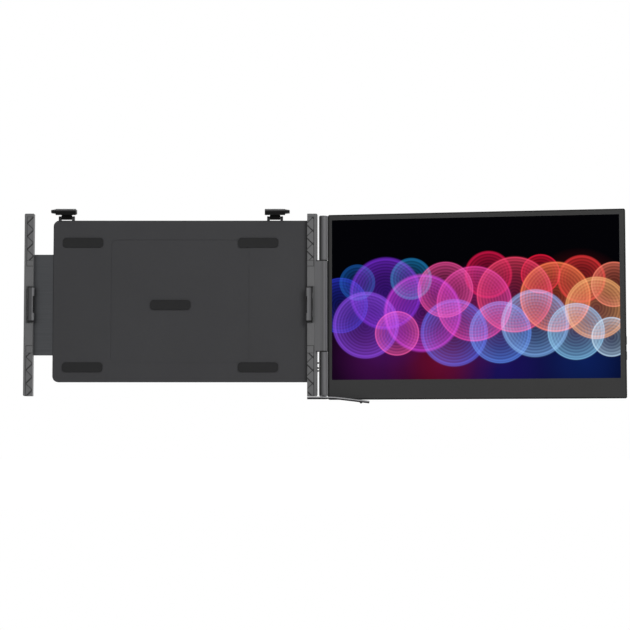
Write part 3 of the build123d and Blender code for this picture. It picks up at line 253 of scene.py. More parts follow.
grainedLooks = {
    # bead-blasted and anodised aluminium: even grey, a soft lift where it turns away
    "anodisedColumnAluminium": {
        "dark": "#505051", "light": "#585859", "specular": 0.35, "driftSize": 60, "grainSize": 0.5,
        "speck": 0.06, "rough": (0.42, 0.52), "bump": 0.12, "bumpDepth": 0.03,
    },
    # the same finish on the turned barrel: the tone is that of its painted highlight, and the
    # shares below take it down across the turning as painted shade
    "anodisedBarrelAluminium": {
        "dark": "#858587", "light": "#8D8D8F", "specular": 0.15, "driftSize": 60, "grainSize": 0.5,
        "speck": 0.05, "rough": (0.36, 0.46), "bump": 0.1, "bumpDepth": 0.03,
    },
    # foot plate and leg, with a painted highlight along the upper edge
    "satinFootAluminium": {
        "dark": "#9A9A9C", "light": "#A2A2A4", "specular": 0.15, "driftSize": 60, "grainSize": 0.5,
        "speck": 0.05, "rough": (0.36, 0.46), "bump": 0.1, "bumpDepth": 0.03,
    },
    # moulded ABS with a satin skin, with painted highlights and painted shade at its edges
    "leftClawABS": {
        "dark": "#616163", "light": "#69696B", "specular": 0.2, "driftSize": 25, "grainSize": 0.4,
        "speck": 0.05, "rough": (0.32, 0.44), "bump": 0.1, "bumpDepth": 0.03,
    },
    # moulded ABS of the plugs in the barrel's ends
    "mouldedPlugABS": {
        "dark": "#2E2E30", "light": "#353537", "specular": 0.3, "driftSize": 25, "grainSize": 0.4,
        "speck": 0.05, "rough": (0.4, 0.5), "bump": 0.1, "bumpDepth": 0.03,
    },
    # glass-filled nylon of the hooks: a painted highlight along the top edge, near black below it
    "blackHookNylon": {
        "dark": "#6C6C6D", "light": "#747475", "specular": 0.05, "driftSize": 18, "grainSize": 0.4,
        "speck": 0.08, "rough": (0.36, 0.48), "bump": 0.12, "bumpDepth": 0.03,
    },
    # moulded ABS with a spark-eroded texture: flat charcoal, almost no gloss
    "mattBezelABS": {
        "dark": "#272727", "light": "#2B2B2B", "specular": 0.22, "driftSize": 80, "grainSize": 0.6,
        "speck": 0.07, "rough": (0.55, 0.68), "bump": 0.18, "bumpDepth": 0.04,
    },
    # coarser spark-eroded ABS for the housing behind the panel
    "texturedHousingABS": {
        "dark": "#262628", "light": "#2D2D2F", "specular": 0.28, "driftSize": 90, "grainSize": 0.9,
        "speck": 0.1, "rough": (0.55, 0.7), "bump": 0.3, "bumpDepth": 0.08,
    },
    # anodised sheet of the screen's back: smooth, cooler grey
    "anodisedBackAluminium": {
        "dark": "#424346", "light": "#4A4B4E", "metallic": 0.35, "driftSize": 120, "grainSize": 0.5,
        "speck": 0.05, "rough": (0.4, 0.48), "bump": 0.1, "bumpDepth": 0.03,
    },
    # nitrile rubber: black, soft sheen at grazing angles only
    "blackPadRubber": {
        "dark": "#101011", "light": "#161617", "specular": 0.25, "driftSize": 20, "grainSize": 0.5,
        "speck": 0.12, "rough": (0.7, 0.85), "bump": 0.25, "bumpDepth": 0.05,
    },
    # black-oxide steel of the small screws
    "blackOxideSteel": {
        "dark": "#1D1D1F", "light": "#262628", "metallic": 0.8, "driftSize": 3, "grainSize": 0.3,
        "speck": 0.08, "rough": (0.3, 0.42), "bump": 0.08, "bumpDepth": 0.02,
    },
    # acetal of rails and washers
    "blackAcetal": {
        "dark": "#141415", "light": "#1A1A1B", "specular": 0.35, "driftSize": 15, "grainSize": 0.5,
        "speck": 0.04, "rough": (0.35, 0.45), "bump": 0.05, "bumpDepth": 0.02,
    },
    # diffuser tray behind the glass
    "whiteBacklightPolycarbonate": {
        "dark": "#C9CACB", "light": "#D6D7D8", "driftSize": 60, "grainSize": 0.8,
        "speck": 0.02, "rough": (0.4, 0.5), "bump": 0.03, "bumpDepth": 0.02,
    },
    # solder mask over copper
    "greenSolderMask": {
        "dark": "#0E3A20", "light": "#15492B", "driftSize": 8, "grainSize": 0.4,
        "speck": 0.08, "rough": (0.25, 0.35), "bump": 0.06, "bumpDepth": 0.02,
    },
    # nickel-plated shells of the sockets
    "nickelPlatedSteel": {
        "dark": "#A6A6A8", "light": "#B4B4B6", "metallic": 1.0, "driftSize": 4, "grainSize": 0.3,
        "speck": 0.04, "rough": (0.18, 0.28), "bump": 0.04, "bumpDepth": 0.01,
    },
    # gold flash on the contacts in the sockets
    "goldFlashedContacts": {
        "dark": "#C79A46", "light": "#D9AE5C", "metallic": 1.0, "driftSize": 2, "grainSize": 0.2,
        "speck": 0.04, "rough": (0.2, 0.3), "bump": 0.03, "bumpDepth": 0.01,
    },
    # phosphor bronze of the friction bands
    "phosphorBronze": {
        "dark": "#9A7142", "light": "#AD8350", "metallic": 1.0, "driftSize": 6, "grainSize": 0.4,
        "speck": 0.05, "rough": (0.3, 0.4), "bump": 0.05, "bumpDepth": 0.02,
    },
    # woven paper cone and box of the speakers
    "blackSpeakerPaper": {
        "dark": "#121213", "light": "#1A1A1B", "specular": 0.2, "driftSize": 5, "grainSize": 0.7,
        "speck": 0.12, "rough": (0.8, 0.9), "bump": 0.3, "bumpDepth": 0.05,
    },
}
for name, finish in (
    ("groovedColumnAluminium", "anodisedColumnAluminium"),
    ("turnedKnuckleAluminium", "anodisedBarrelAluminium"),
    ("satinLegAluminium", "satinFootAluminium"),
    ("rightClawABS", "leftClawABS"),
):
    grainedLooks[name] = grainedLooks[finish]
materials = {name: grainedMaterial(name, look) for name, look in grainedLooks.items()}


def paintOver(material, mask, color):
    # lays a colour over a material's own where the mask is 1
    tree = material.node_tree
    shader = [node for node in tree.nodes if node.type == "BSDF_PRINCIPLED"][0]
    own = shader.inputs["Base Color"].links[0].from_socket
    painted = addNode(
        tree, "ShaderNodeMix", {"data_type": "RGBA"},
        {"Factor": mask, "A": own, "B": linearColor(color)},
    )
    tree.links.new(painted.outputs["Result"], shader.inputs["Base Color"])


def shadeAcross(material, axis, shares):
    # shares gives, for places in mm on the object's own axis, how much of the colour stays
    tree = material.node_tree
    shader = [node for node in tree.nodes if node.type == "BSDF_PRINCIPLED"][0]
    own = shader.inputs["Base Color"].links[0].from_socket
    first, last = min(shares), max(shares)
    across = addNode(
        tree, "ShaderNodeMapRange",
        inputs={"Value": axis, "From Min": first * mm, "From Max": last * mm},
    )
    ramp = addNode(tree, "ShaderNodeValToRGB", inputs={"Fac": across.outputs["Result"]})
    stops = ramp.color_ramp.elements
    stops[0].color = [shares[first]] * 3 + [1]
    stops[1].color = [shares[last]] * 3 + [1]
    for place, share in shares.items():
        if first < place < last:
            stops.new((place - first) / (last - first)).color = [share] * 3 + [1]
    shaded = addNode(
        tree, "ShaderNodeVectorMath", {"operation": "MULTIPLY"}, {0: own, 1: ramp.outputs["Color"]}
    )
    tree.links.new(shaded.outputs[0], shader.inputs["Base Color"])


def step(tree, value, low, high):
    # rises from 0 at low to 1 at high, and falls where high is the smaller of the two
    turned = low > high
    ramp = addNode(
        tree, "ShaderNodeMapRange",
        inputs={"Value": value, "From Min": min(low, high), "From Max": max(low, high),
                "To Min": float(turned), "To Max": float(not turned)},
    )
    return ramp.outputs["Result"]


def product(tree, *masks):
    result = masks[0]
    for mask in masks[1:]:
        joined = addNode(tree, "ShaderNodeMath", {"operation": "MULTIPLY"}, {0: result, 1: mask})
        result = joined.outputs[0]
    return result


def largest(tree, *masks):
    result = masks[0]
    for mask in masks[1:]:
        joined = addNode(tree, "ShaderNodeMath", {"operation": "MAXIMUM"}, {0: result, 1: mask})
        result = joined.outputs[0]
    return result


def objectAxes(tree):
    # the object's own X, Y and Z as three sockets
    coords = addNode(tree, "ShaderNodeTexCoord")
    split = addNode(tree, "ShaderNodeSeparateXYZ", inputs={"Vector": coords.outputs["Object"]})
    return split.outputs["X"], split.outputs["Y"], split.outputs["Z"]


def band(tree, value, low, high, soft):
    # 1 from low to high, and 0 from soft beyond them
    return product(tree, step(tree, value, low - soft, low), step(tree, value, high + soft, high))


def nearLine(tree, value, level, halfWidth, soft, pitch):
    # 1 near a level of the value that comes again at every pitch
    away = addNode(tree, "ShaderNodeMath", {"operation": "SUBTRACT"}, {0: value, 1: level})
    folded = addNode(
        tree, "ShaderNodeMath", {"operation": "PINGPONG"}, {0: away.outputs[0], 1: pitch / 2}
    )
    return step(tree, folded.outputs[0], halfWidth + soft, halfWidth)


# Grooves of the column covers, in mm. Painted shade: their floors are painted near black, and the
# face close beside them is painted darker too, so that grooves of half a millimetre show. The
# diagonals
# run at 45 degrees: wide ones down towards the column's outer edge and fine ones up.
grooveShadeLook = {
    "floor": {"color": "#0C0C0C", "front": -4.5, "depth": 0.45, "blur": 0.1,
              "facing": (-0.9, -0.98)},
    "wide": {"color": "#1C1C1D", "halfWidth": 0.8},
    "fine": {"color": "#262627", "halfWidth": 0.45},
    "blur": 0.3, "edgeBlur": 0.1, "pitch": 17.75,
    "innerEdge": 184.0,  # of the grooved strip, from the frame's middle
    "stripWidth": 9.05,
    "once": 1000.0,  # pitch of a line that comes only once
    # where a wide and a fine groove meet the inner edge, the lattice's two ends, and the
    # far end of the plain block that follows it
    "lattices": (
        {"side": 1, "wide": 107.1, "fine": 92.5, "ends": (59.5, 118.4), "blockEnd": 51.7},
        {"side": 1, "wide": -63.1, "fine": -77.7, "ends": (-122.75, -65.0), "blockEnd": -55.1},
        {"side": -1, "wide": 100.7, "fine": 83.3, "ends": (59.5, 118.4), "blockEnd": 51.7},
        {"side": -1, "wide": -61.7, "fine": -79.1, "ends": (-122.75, -65.0), "blockEnd": -55.1},
    ),
}
columnFace = materials["groovedColumnAluminium"]
tree = columnFace.node_tree
x, y, z = objectAxes(tree)
surface = addNode(tree, "ShaderNodeNewGeometry")
normal = addNode(tree, "ShaderNodeSeparateXYZ", inputs={"Vector": surface.outputs["Normal"]})
grooveFloorShade = grooveShadeLook["floor"]
grooveFloor, blur = (grooveFloorShade["front"] + grooveFloorShade["depth"]) * mm, grooveFloorShade["blur"] * mm
grooveFloorShadeMask = product(
    tree, band(tree, y, grooveFloor - blur, grooveFloor + blur, blur),
    step(tree, normal.outputs["Y"], *grooveFloorShade["facing"]),
)
# painted shade on the groove floors
paintOver(columnFace, grooveFloorShadeMask, grooveFloorShade["color"])

fromMiddle = addNode(tree, "ShaderNodeMath", {"operation": "ABSOLUTE"}, {0: x})
inner, sharp = grooveShadeLook["innerEdge"] * mm, grooveShadeLook["edgeBlur"] * mm
strip = inner + grooveShadeLook["stripWidth"] * mm
front = grooveFloorShade["front"] * mm
onStrip = product(
    tree, step(tree, y, front + sharp, front + sharp / 2),
    step(tree, fromMiddle.outputs[0], strip + sharp, strip),
)
for kind, operation, outward in (("wide", "ADD", 1), ("fine", "SUBTRACT", -1)):
    halfWidth, soft = grooveShadeLook[kind]["halfWidth"] * mm, grooveShadeLook["blur"] * mm
    slantedWidth = halfWidth * sqrt(2)
    slanted = addNode(
        tree, "ShaderNodeMath", {"operation": operation}, {0: z, 1: fromMiddle.outputs[0]}
    )
    lines = []
    for lattice in grooveShadeLook["lattices"]:
        onSide = step(tree, x, 0, lattice["side"] * mm)
        low, high = (end * mm for end in lattice["ends"])
        diagonals = nearLine(
            tree, slanted.outputs[0], lattice[kind] * mm + outward * inner, slantedWidth, soft,
            grooveShadeLook["pitch"] * mm,
        )
        lines.append(product(tree, onSide, band(tree, z, low, high, sharp), diagonals))
        if kind == "fine":
            blockEnd = lattice["blockEnd"] * mm
            onBlock = product(
                tree, onSide, band(tree, z, min(low, blockEnd), max(high, blockEnd), sharp)
            )
            for value, level in ((fromMiddle.outputs[0], strip), (z, blockEnd)):
                edgeLine = nearLine(tree, value, level, halfWidth, soft, grooveShadeLook["once"] * mm)
                lines.append(product(tree, onBlock, edgeLine))
    # painted shade along the grooves and on the face beside them
    paintOver(columnFace, product(tree, largest(tree, *lines), onStrip), grooveShadeLook[kind]["color"])

# Brushed steel, plain on the pins and blackened on the arm plate: lines along X, 60 mm
# long and 0.35 mm apart, where a real brushing has them at 0.05 mm, too fine to show.
brushLook = {
    "line": 0.35, "stretch": 60.0, "detail": 3.0, "rough": (0.28, 0.42),
    "tones": {
        "brushedStainlessSteel": ("#7C7D7F", "#98999B"),
        "blackenedBrushedSteel": ("#38393B", "#4A4B4D"),
    },
}
for name, (dark, light) in brushLook["tones"].items():
    material, tree, shader, place = startMaterial(name, {"Metallic": 1.0})
    line, stretch = brushLook["line"] * mm, brushLook["stretch"] * mm
    stretched = addNode(
        tree, "ShaderNodeMapping", {"vector_type": "TEXTURE"},
        {"Vector": place, "Scale": (stretch, line, line)},
    )
    brushing = addNode(
        tree, "ShaderNodeTexNoise",
        inputs={"Vector": stretched.outputs["Vector"], "Scale": 1.0,
                "Detail": brushLook["detail"]},
    )
    tone = addNode(
        tree, "ShaderNodeMix", {"data_type": "RGBA"},
        {"Factor": brushing.outputs["Fac"], "A": linearColor(dark), "B": linearColor(light)},
    )
    rough = addNode(
        tree, "ShaderNodeMapRange",
        inputs={"Value": brushing.outputs["Fac"], "To Min": brushLook["rough"][0],
                "To Max": brushLook["rough"][1]},
    )
    tree.links.new(tone.outputs["Result"], shader.inputs["Base Color"])
    tree.links.new(rough.outputs["Result"], shader.inputs["Roughness"])
    materials[name] = material

# The screen's own directions at rest, and how far a node reaches along one of them
screenTurn = {"swing": 10.4, "axisX": 205.55}  # degrees, and the hinge axis's X in mm
swing = radians(screenTurn["swing"])
along = Vector((cos(swing), -sin(swing), 0))
behind = Vector((sin(swing), cos(swing), 0))
up = Vector((0, 0, 1))


def nodeReach(name, direction):
    reaches = [vertex.co.dot(direction) for vertex in nodes[name].data.vertices]
    return min(reaches), max(reaches)


def placeAlong(tree, direction):
    # how far along a direction a point of the object lies
    coords = addNode(tree, "ShaderNodeTexCoord")
    reach = addNode(
        tree, "ShaderNodeVectorMath", {"operation": "DOT_PRODUCT"},
        {0: coords.outputs["Object"], 1: direction},
    )
    return reach.outputs["Value"]


def nearEnds(tree, value, ends, width, soft):
    # 1 within a width of either end of a range of the value
    low, high = ends
    return largest(
        tree, step(tree, value, low + width, low + width - soft),
        step(tree, value, high - width, high - width + soft),
    )


# Bezel: painted shade, a near black rim 2 mm wide along its edges, where they turn away
rimShadeLook = {"color": "#080808", "width": 2.0 * mm, "blur": 0.3 * mm}
tree = materials["mattBezelABS"].node_tree
rimShadeMasks = [
    nearEnds(
        tree, placeAlong(tree, direction), nodeReach("screen_bezel", direction),
        rimShadeLook["width"], rimShadeLook["blur"],
    )
    for direction in (along, up)
]
paintOver(materials["mattBezelABS"], largest(tree, *rimShadeMasks), rimShadeLook["color"])

# Barrel: places are mm from the hinge axis. Painted shade darkens it on the side beside the gap,
# where it turns away, and a painted highlight makes the strip next to the screen palest.
barrelShadeLook = {
    "knuckle": {-5.5: 0.06, -3.0: 0.1, -1.7: 0.24, -0.3: 0.36, 1.0: 0.46, 2.4: 0.52, 3.7: 0.48,
                4.4: 0.46, 5.2: 0.7, 6.4: 1.0},
    "web": {-4.5: 0.46, -1.8: 0.38, -0.6: 0.3, 0.9: 0.42, 2.4: 0.45, 3.7: 0.34, 5.0: 0.75,
            6.0: 1.0},
    # painted shade: a dark line at the middle knuckle's two ends, where the gaps to the outer
    # knuckles lie, from "start" on, in mm too
    "joint": {"color": "#0A0A0A", "width": 1.3, "blur": 0.2, "start": -9.0, "startBlur": 0.5},
}
axisX = screenTurn["axisX"]
for name, shares in (("turnedKnuckleAluminium", "knuckle"), ("anodisedBarrelAluminium", "web")):
    x, y, z = objectAxes(materials[name].node_tree)
    shadeAcross(
        materials[name], x, {axisX + place: share for place, share in barrelShadeLook[shares].items()}
    )
# painted shade in the joints at both ends of the middle knuckle
middleKnuckle = materials["anodisedBarrelAluminium"]
tree = middleKnuckle.node_tree
x, y, z = objectAxes(tree)
joint = barrelShadeLook["joint"]
jointStart = axisX + joint["start"]
jointShadeMask = product(
    tree,
    nearEnds(tree, z, nodeReach("frame_knuckle", up), joint["width"] * mm, joint["blur"] * mm),
    step(tree, x, (jointStart - joint["startBlur"]) * mm, jointStart * mm),
)
paintOver(middleKnuckle, jointShadeMask, joint["color"])

# Claws: shares of the colour at places in mm, as painted highlight and painted shade. Across, they
# are
# # counted from the edge that faces the clamped panel: a painted highlight where the lip rolls
# over, painted shade at the pad and outer wall.
clawShadeLook = {
    "across": {
        "right_claw": {0.0: 0.1, 1.0: 0.12, 1.7: 0.9, 4.4: 0.85, 5.6: 0.6, 7.0: 0.5, 7.5: 0.04,
                       9.4: 0.02},
        "left_claw": {0.0: 0.8, 1.6: 0.85, 1.9: 1.15, 2.9: 1.15, 3.3: 0.26, 4.6: 0.42, 6.2: 0.34,
                      7.0: 0.36, 7.5: 0.03, 9.4: 0.02},
    },
    # painted shade along the bottom end and the top edge
    "aboveBottom": {2.2: 0.03, 3.2: 1.0},
    "belowTop": {2.4: 1.0, 1.4: 0.12},
}
for name, finish, side in (("right_claw", "rightClawABS", 1), ("left_claw", "leftClawABS", -1)):
    clawLow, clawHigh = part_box(name)
    inner = (clawLow if side > 0 else clawHigh)[0] / mm
    bottom, top = clawLow[2] / mm, clawHigh[2] / mm
    across = {inner + side * place: share for place, share in clawShadeLook["across"][name].items()}
    rising = {bottom + place: share for place, share in clawShadeLook["aboveBottom"].items()}
    rising.update({top - place: share for place, share in clawShadeLook["belowTop"].items()})
    x, y, z = objectAxes(materials[finish].node_tree)
    shadeAcross(materials[finish], x, across)
    shadeAcross(materials[finish], z, rising)

# Hooks: a painted highlight along the top, with shares of the colour at mm from it
hookHighlightLook = {-0.4: 1.0, -1.0: 0.9, -1.4: 0.38, -2.4: 0.32, -3.0: 0.08, -4.0: 0.03}
hookSkin = materials["blackHookNylon"]
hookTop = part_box("left_hook")[1][2] / mm
x, y, z = objectAxes(hookSkin.node_tree)
shadeAcross(hookSkin, z, {hookTop + drop: share for drop, share in hookHighlightLook.items()})

# Foot plate and leg: a painted highlight along the upper edge and painted shade below it, with
# # shares of the colour at mm from the wide upper faces, which tilt forward. The bent leg has two
# of
# # them, and each point counts from the nearer one.
footPaintedLight = {
    "foot_bracket": {-0.5: 0.75, -0.8: 0.02},
    "support_leg": {-0.6: 1.0, -0.9: 0.15, -1.2: 0.02},
    # what counts as wide and upper: parts of the normal along Z and Y, and the area
    "wideFace": {"upward": 0.5, "forward": (-0.5, -0.1), "area": 60 * mm * mm},
}


def wideUpperFaces(name):
    # directions of a node's wide upper faces, and how far along them the faces lie
    wideFace = footPaintedLight["wideFace"]
    mostForward, leastForward = wideFace["forward"]
    areas, levels = {}, {}
    for face in nodes[name].data.polygons:
        direction = tuple(round(c, 3) for c in face.normal)
        if direction[2] > wideFace["upward"] and mostForward < direction[1] < leastForward:
            level = face.center.dot(face.normal)
            areas[direction] = areas.get(direction, 0.0) + face.area
            levels[direction] = max(level, levels.get(direction, level))
    wide = [direction for direction, area in areas.items() if area > wideFace["area"]]
    return {direction: levels[direction] for direction in wide}


for name, finish in (("foot_bracket", "satinFootAluminium"), ("support_leg", "satinLegAluminium")):
    tree = materials[finish].node_tree
    heights = []
    for direction, level in wideUpperFaces(name).items():
        height = addNode(
            tree, "ShaderNodeMath", {"operation": "SUBTRACT"},
            {0: placeAlong(tree, direction), 1: level},
        )
        heights.append(height.outputs[0])
    shadeAcross(materials[finish], largest(tree, *heights), footPaintedLight[name])

# The lit picture behind matt glass: a generic design of overlapping soft discs with fine
# rings in them, over a black ground with low glows. Sizes are shares of the picture's
# width, and the rings are 4 mm apart.
pictureLook = {
    "margin": 1.6 * mm,  # of the glass that the bezel covers
    "glass": "#020203",
    "roughness": 0.3,
    "ground": "#010103",
    "light": 1.0,
    "ringPitch": 0.0105,
    "ringDepth": 0.22,
    "discEdge": ((0.0, 0.1), (0.5, 0.26), (0.85, 0.55), (0.955, 1.0), (0.975, 0.2), (1.0, 0.0)),
    "glowEdge": ((0.0, 1.0), (0.3, 0.72), (0.65, 0.22), (1.0, 0.0)),
    # centre across, centre up, radius, colour, strength
    "glows": (
        (-0.34, -0.20, 0.24, "#4A0F52", 0.7), (-0.12, -0.22, 0.20, "#6E0B26", 0.75),
        (0.10, -0.24, 0.26, "#1C1360", 0.8), (0.38, -0.22, 0.24, "#0E2466", 0.7),
        (-0.30, -0.05, 0.20, "#2B1170", 0.7), (0.05, -0.05, 0.20, "#5A0F4C", 0.65),
        (0.36, -0.02, 0.19, "#6A1A1C", 0.7),
    ),
    "discs": (
        (-0.47, -0.02, 0.100, "#2F3BD0", 0.80), (-0.41, 0.06, 0.065, "#1C5FB4", 0.75),
        (-0.38, -0.09, 0.120, "#8A4BE8", 0.85), (-0.31, 0.02, 0.130, "#7A2FD8", 0.80),
        (-0.27, -0.12, 0.080, "#E8559A", 0.85), (-0.22, 0.07, 0.075, "#2386C4", 0.75),
        (-0.18, -0.05, 0.140, "#C23AD0", 0.85), (-0.10, 0.03, 0.100, "#F0509A", 0.85),
        (-0.07, -0.12, 0.120, "#4E6BF0", 0.80), (0.00, -0.02, 0.135, "#E0409A", 0.85),
        (0.05, 0.08, 0.085, "#D8184A", 0.90), (0.09, -0.12, 0.110, "#5C8DF5", 0.85),
        (0.14, 0.01, 0.135, "#F04468", 0.85), (0.21, -0.09, 0.120, "#86B8F8", 0.80),
        (0.23, 0.08, 0.070, "#E01A3A", 0.90), (0.28, 0.00, 0.125, "#FA7A4C", 0.90),
        (0.35, -0.12, 0.100, "#8FD0FC", 0.80), (0.37, 0.06, 0.085, "#F03A3C", 0.85),
        (0.42, -0.04, 0.110, "#FCB070", 0.90), (0.48, 0.04, 0.080, "#F88068", 0.85),
        (0.47, -0.14, 0.070, "#C4E2FC", 0.75),
    ),
}
glassLeft, glassRight = nodeReach("lcd_glass", along)
glassLow, glassHigh = nodeReach("lcd_glass", up)
glassFront = nodeReach("lcd_glass", behind)[0]
pictureWidth = glassRight - glassLeft - 2 * pictureLook["margin"]
pictureCentre = (
    along * (glassLeft + glassRight) / 2 + up * (glassLow + glassHigh) / 2 + behind * glassFront
)
depthScale = 1000.0  # so large that depth adds nothing to a distance within the picture
material, tree, shader, place = startMaterial(
    "litPictureGlass",
    {"Base Color": linearColor(pictureLook["glass"]), "Roughness": pictureLook["roughness"],
     "Specular IOR Level": 0.0, "Emission Strength": pictureLook["light"]},
)
flat = addNode(
    tree, "ShaderNodeMapping", {"vector_type": "TEXTURE"},
    {"Vector": place, "Location": pictureCentre, "Rotation": (0, 0, -swing),
     "Scale": (pictureWidth, depthScale, pictureWidth)},
)


def softShape(tree, place, centre, radius, edge):
    # strength of a round shape from its middle to its rim, and the distance from its middle
    reach = addNode(
        tree, "ShaderNodeVectorMath", {"operation": "DISTANCE"},
        {0: place, 1: (centre[0], 0, centre[1])},
    )
    falloff = addNode(
        tree, "ShaderNodeMapRange", inputs={"Value": reach.outputs["Value"], "From Max": radius}
    )
    ramp = addNode(tree, "ShaderNodeValToRGB", inputs={"Fac": falloff.outputs["Result"]})
    stops = ramp.color_ramp.elements
    stops[0].color = [edge[0][1]] * 3 + [1]
    stops[1].color = [edge[-1][1]] * 3 + [1]
    for position, strength in edge[1:-1]:
        stops.new(position).color = [strength] * 3 + [1]
    return ramp.outputs["Color"], reach.outputs["Value"]


picture = linearColor(pictureLook["ground"])
ringTurns = tau / pictureLook["ringPitch"]
shapes = [(pictureLook["glowEdge"], 0.0, glow) for glow in pictureLook["glows"]]
for disc in pictureLook["discs"]:
    shapes.append((pictureLook["discEdge"], pictureLook["ringDepth"], disc))
for edge, ringDepth, (across, rise, radius, shapeColor, strength) in shapes:
    shape, reach = softShape(tree, flat.outputs["Vector"], (across, rise), radius, edge)
    turns = addNode(
        tree, "ShaderNodeMath", {"operation": "MULTIPLY"}, {0: reach, 1: ringTurns}
    )
    wave = addNode(tree, "ShaderNodeMath", {"operation": "SINE"}, {0: turns.outputs[0]})
    rings = addNode(
        tree, "ShaderNodeMath", {"operation": "MULTIPLY_ADD"},
        {0: wave.outputs[0], 1: strength * ringDepth, 2: strength * (1 - ringDepth)},
    )
    share = addNode(
        tree, "ShaderNodeMath", {"operation": "MULTIPLY"}, {0: shape, 1: rings.outputs[0]}
    )
    lit = addNode(
        tree, "ShaderNodeMix", {"data_type": "RGBA", "blend_type": "SCREEN"},
        {"Factor": share.outputs["Value"], "A": picture, "B": linearColor(shapeColor)},
    )
    picture = lit.outputs["Result"]
tree.links.new(picture, shader.inputs["Emission Color"])
materials["litPictureGlass"] = material
print("materials ready:", len(materials))

finishes = {
    "groovedColumnAluminium": ("left_column_cover", "right_column_cover"),
    "anodisedColumnAluminium": (
        "left_column_back", "right_column_back", "power_button", "menu_button",
    ),
    "satinFootAluminium": ("foot_bracket",),
    "satinLegAluminium": ("support_leg",),
    "anodisedBarrelAluminium": ("frame_knuckle",),
    "turnedKnuckleAluminium": ("upper_knuckle", "lower_knuckle"),
    "leftClawABS": ("left_claw",),
    "rightClawABS": ("right_claw",),
    "mouldedPlugABS": ("barrel_plugs",),
    "blackHookNylon": ("left_hook", "right_hook"),
    "mattBezelABS": ("screen_bezel",),
    "texturedHousingABS": ("housing_front_shell", "housing_rear_shell"),
    "anodisedBackAluminium": ("screen_rear_cover",),
    "blackPadRubber": (
        "rest_pads", "left_claw_pad", "right_claw_pad", "left_hook_pad", "right_hook_pad",
        "leg_foot",
    ),
    "blackOxideSteel": (
        "housing_screws", "left_column_screws", "right_column_screws", "chin_screws", "leaf_screws",
        "lug_screw",
    ),
    "blackenedBrushedSteel": ("arm_plate",),
    "brushedStainlessSteel": (
        "hinge_bracket", "left_claw_pin", "right_claw_pin", "hook_pins",
        "hinge_shafts", "leg_pin",
    ),
    "blackAcetal": ("slide_rails", "hinge_washers"),
    "whiteBacklightPolycarbonate": ("backlight_unit",),
    "litPictureGlass": ("lcd_glass",),
    "greenSolderMask": ("controller_board", "button_board"),
    "nickelPlatedSteel": ("usb_c_sockets",),
    "phosphorBronze": ("friction_bands",),
    "blackSpeakerPaper": ("speakers",),
}
for finish, names in finishes.items():
    for name in names:
        nodes[name].data.materials.clear()
        nodes[name].data.materials.append(materials[finish])
print("finishes set on", sum(len(names) for names in finishes.values()), "nodes")

# What the modelled screws and contacts share
facing = 0.9  # a face looks along an axis if its normal has more than this of it
smoothAngle = radians(35)


def deselectAll():
    if bpy.context.mode != "OBJECT":
        bpy.ops.object.mode_set(mode="OBJECT")
    bpy.ops.object.select_all(action="DESELECT")


def pickFaces(piece, wanted):
    # selects, in edit mode, the faces for whose normal wanted(normal) holds
    bpy.ops.object.mode_set(mode="EDIT")
    bpy.ops.mesh.select_mode(type="FACE")
    bpy.ops.mesh.select_all(action="DESELECT")
    bpy.ops.object.mode_set(mode="OBJECT")
    for face in piece.data.polygons:
        face.select = wanted(face.normal)
    bpy.ops.object.mode_set(mode="EDIT")


def applyModifier(piece, kind, settings):
    modifier = piece.modifiers.new(kind.lower(), kind)
    for name, value in settings.items():
        setattr(modifier, name, value)
    bpy.context.view_layer.objects.active = piece
    bpy.ops.object.modifier_apply(modifier=modifier.name)


def joinCopies(original, name, placings, finish):
    # one object of copies, each with its own mesh set at its placing, the original removed
    copies = []
    for placing in placings:
        copy = original.copy()
        copy.data = original.data.copy()
        copy.data.transform(placing)
        bpy.context.collection.objects.link(copy)
        copies.append(copy)
    bpy.data.objects.remove(original, do_unlink=True)
    deselectAll()
    for copy in copies:
        copy.select_set(True)
    bpy.context.view_layer.objects.active = copies[0]
    if len(copies) > 1:
        bpy.ops.object.join()
    joined = bpy.context.view_layer.objects.active
    joined.name = name
    joined.data.materials.clear()
    joined.data.materials.append(materials[finish])
    deselectAll()
    joined.select_set(True)
    bpy.ops.object.shade_smooth_by_angle(angle=smoothAngle)
    return joined


# Screws with a cross recess. A screw is modelled with its head's top at the origin and
# its shaft down, then copied to the places of a CAD screw node.
screwLook = {
    "headRadius": 2.08 * mm, "headHeight": 1.0 * mm, "headSides": 32, "shaftRadius": 0.93 * mm,
    "rimBevel": 0.22 * mm, "rimSegments": 3, "tipBevel": 0.3 * mm, "tipSegments": 2,
    "recessLength": 2.3 * mm, "recessWidth": 0.55 * mm, "recessDepth": 0.6 * mm,
    "recessTaper": 0.6,
    "turn": 37,  # degrees between one screw's recess and the next
    "apart": 12 * mm,  # vertices nearer than this belong to one screw
}


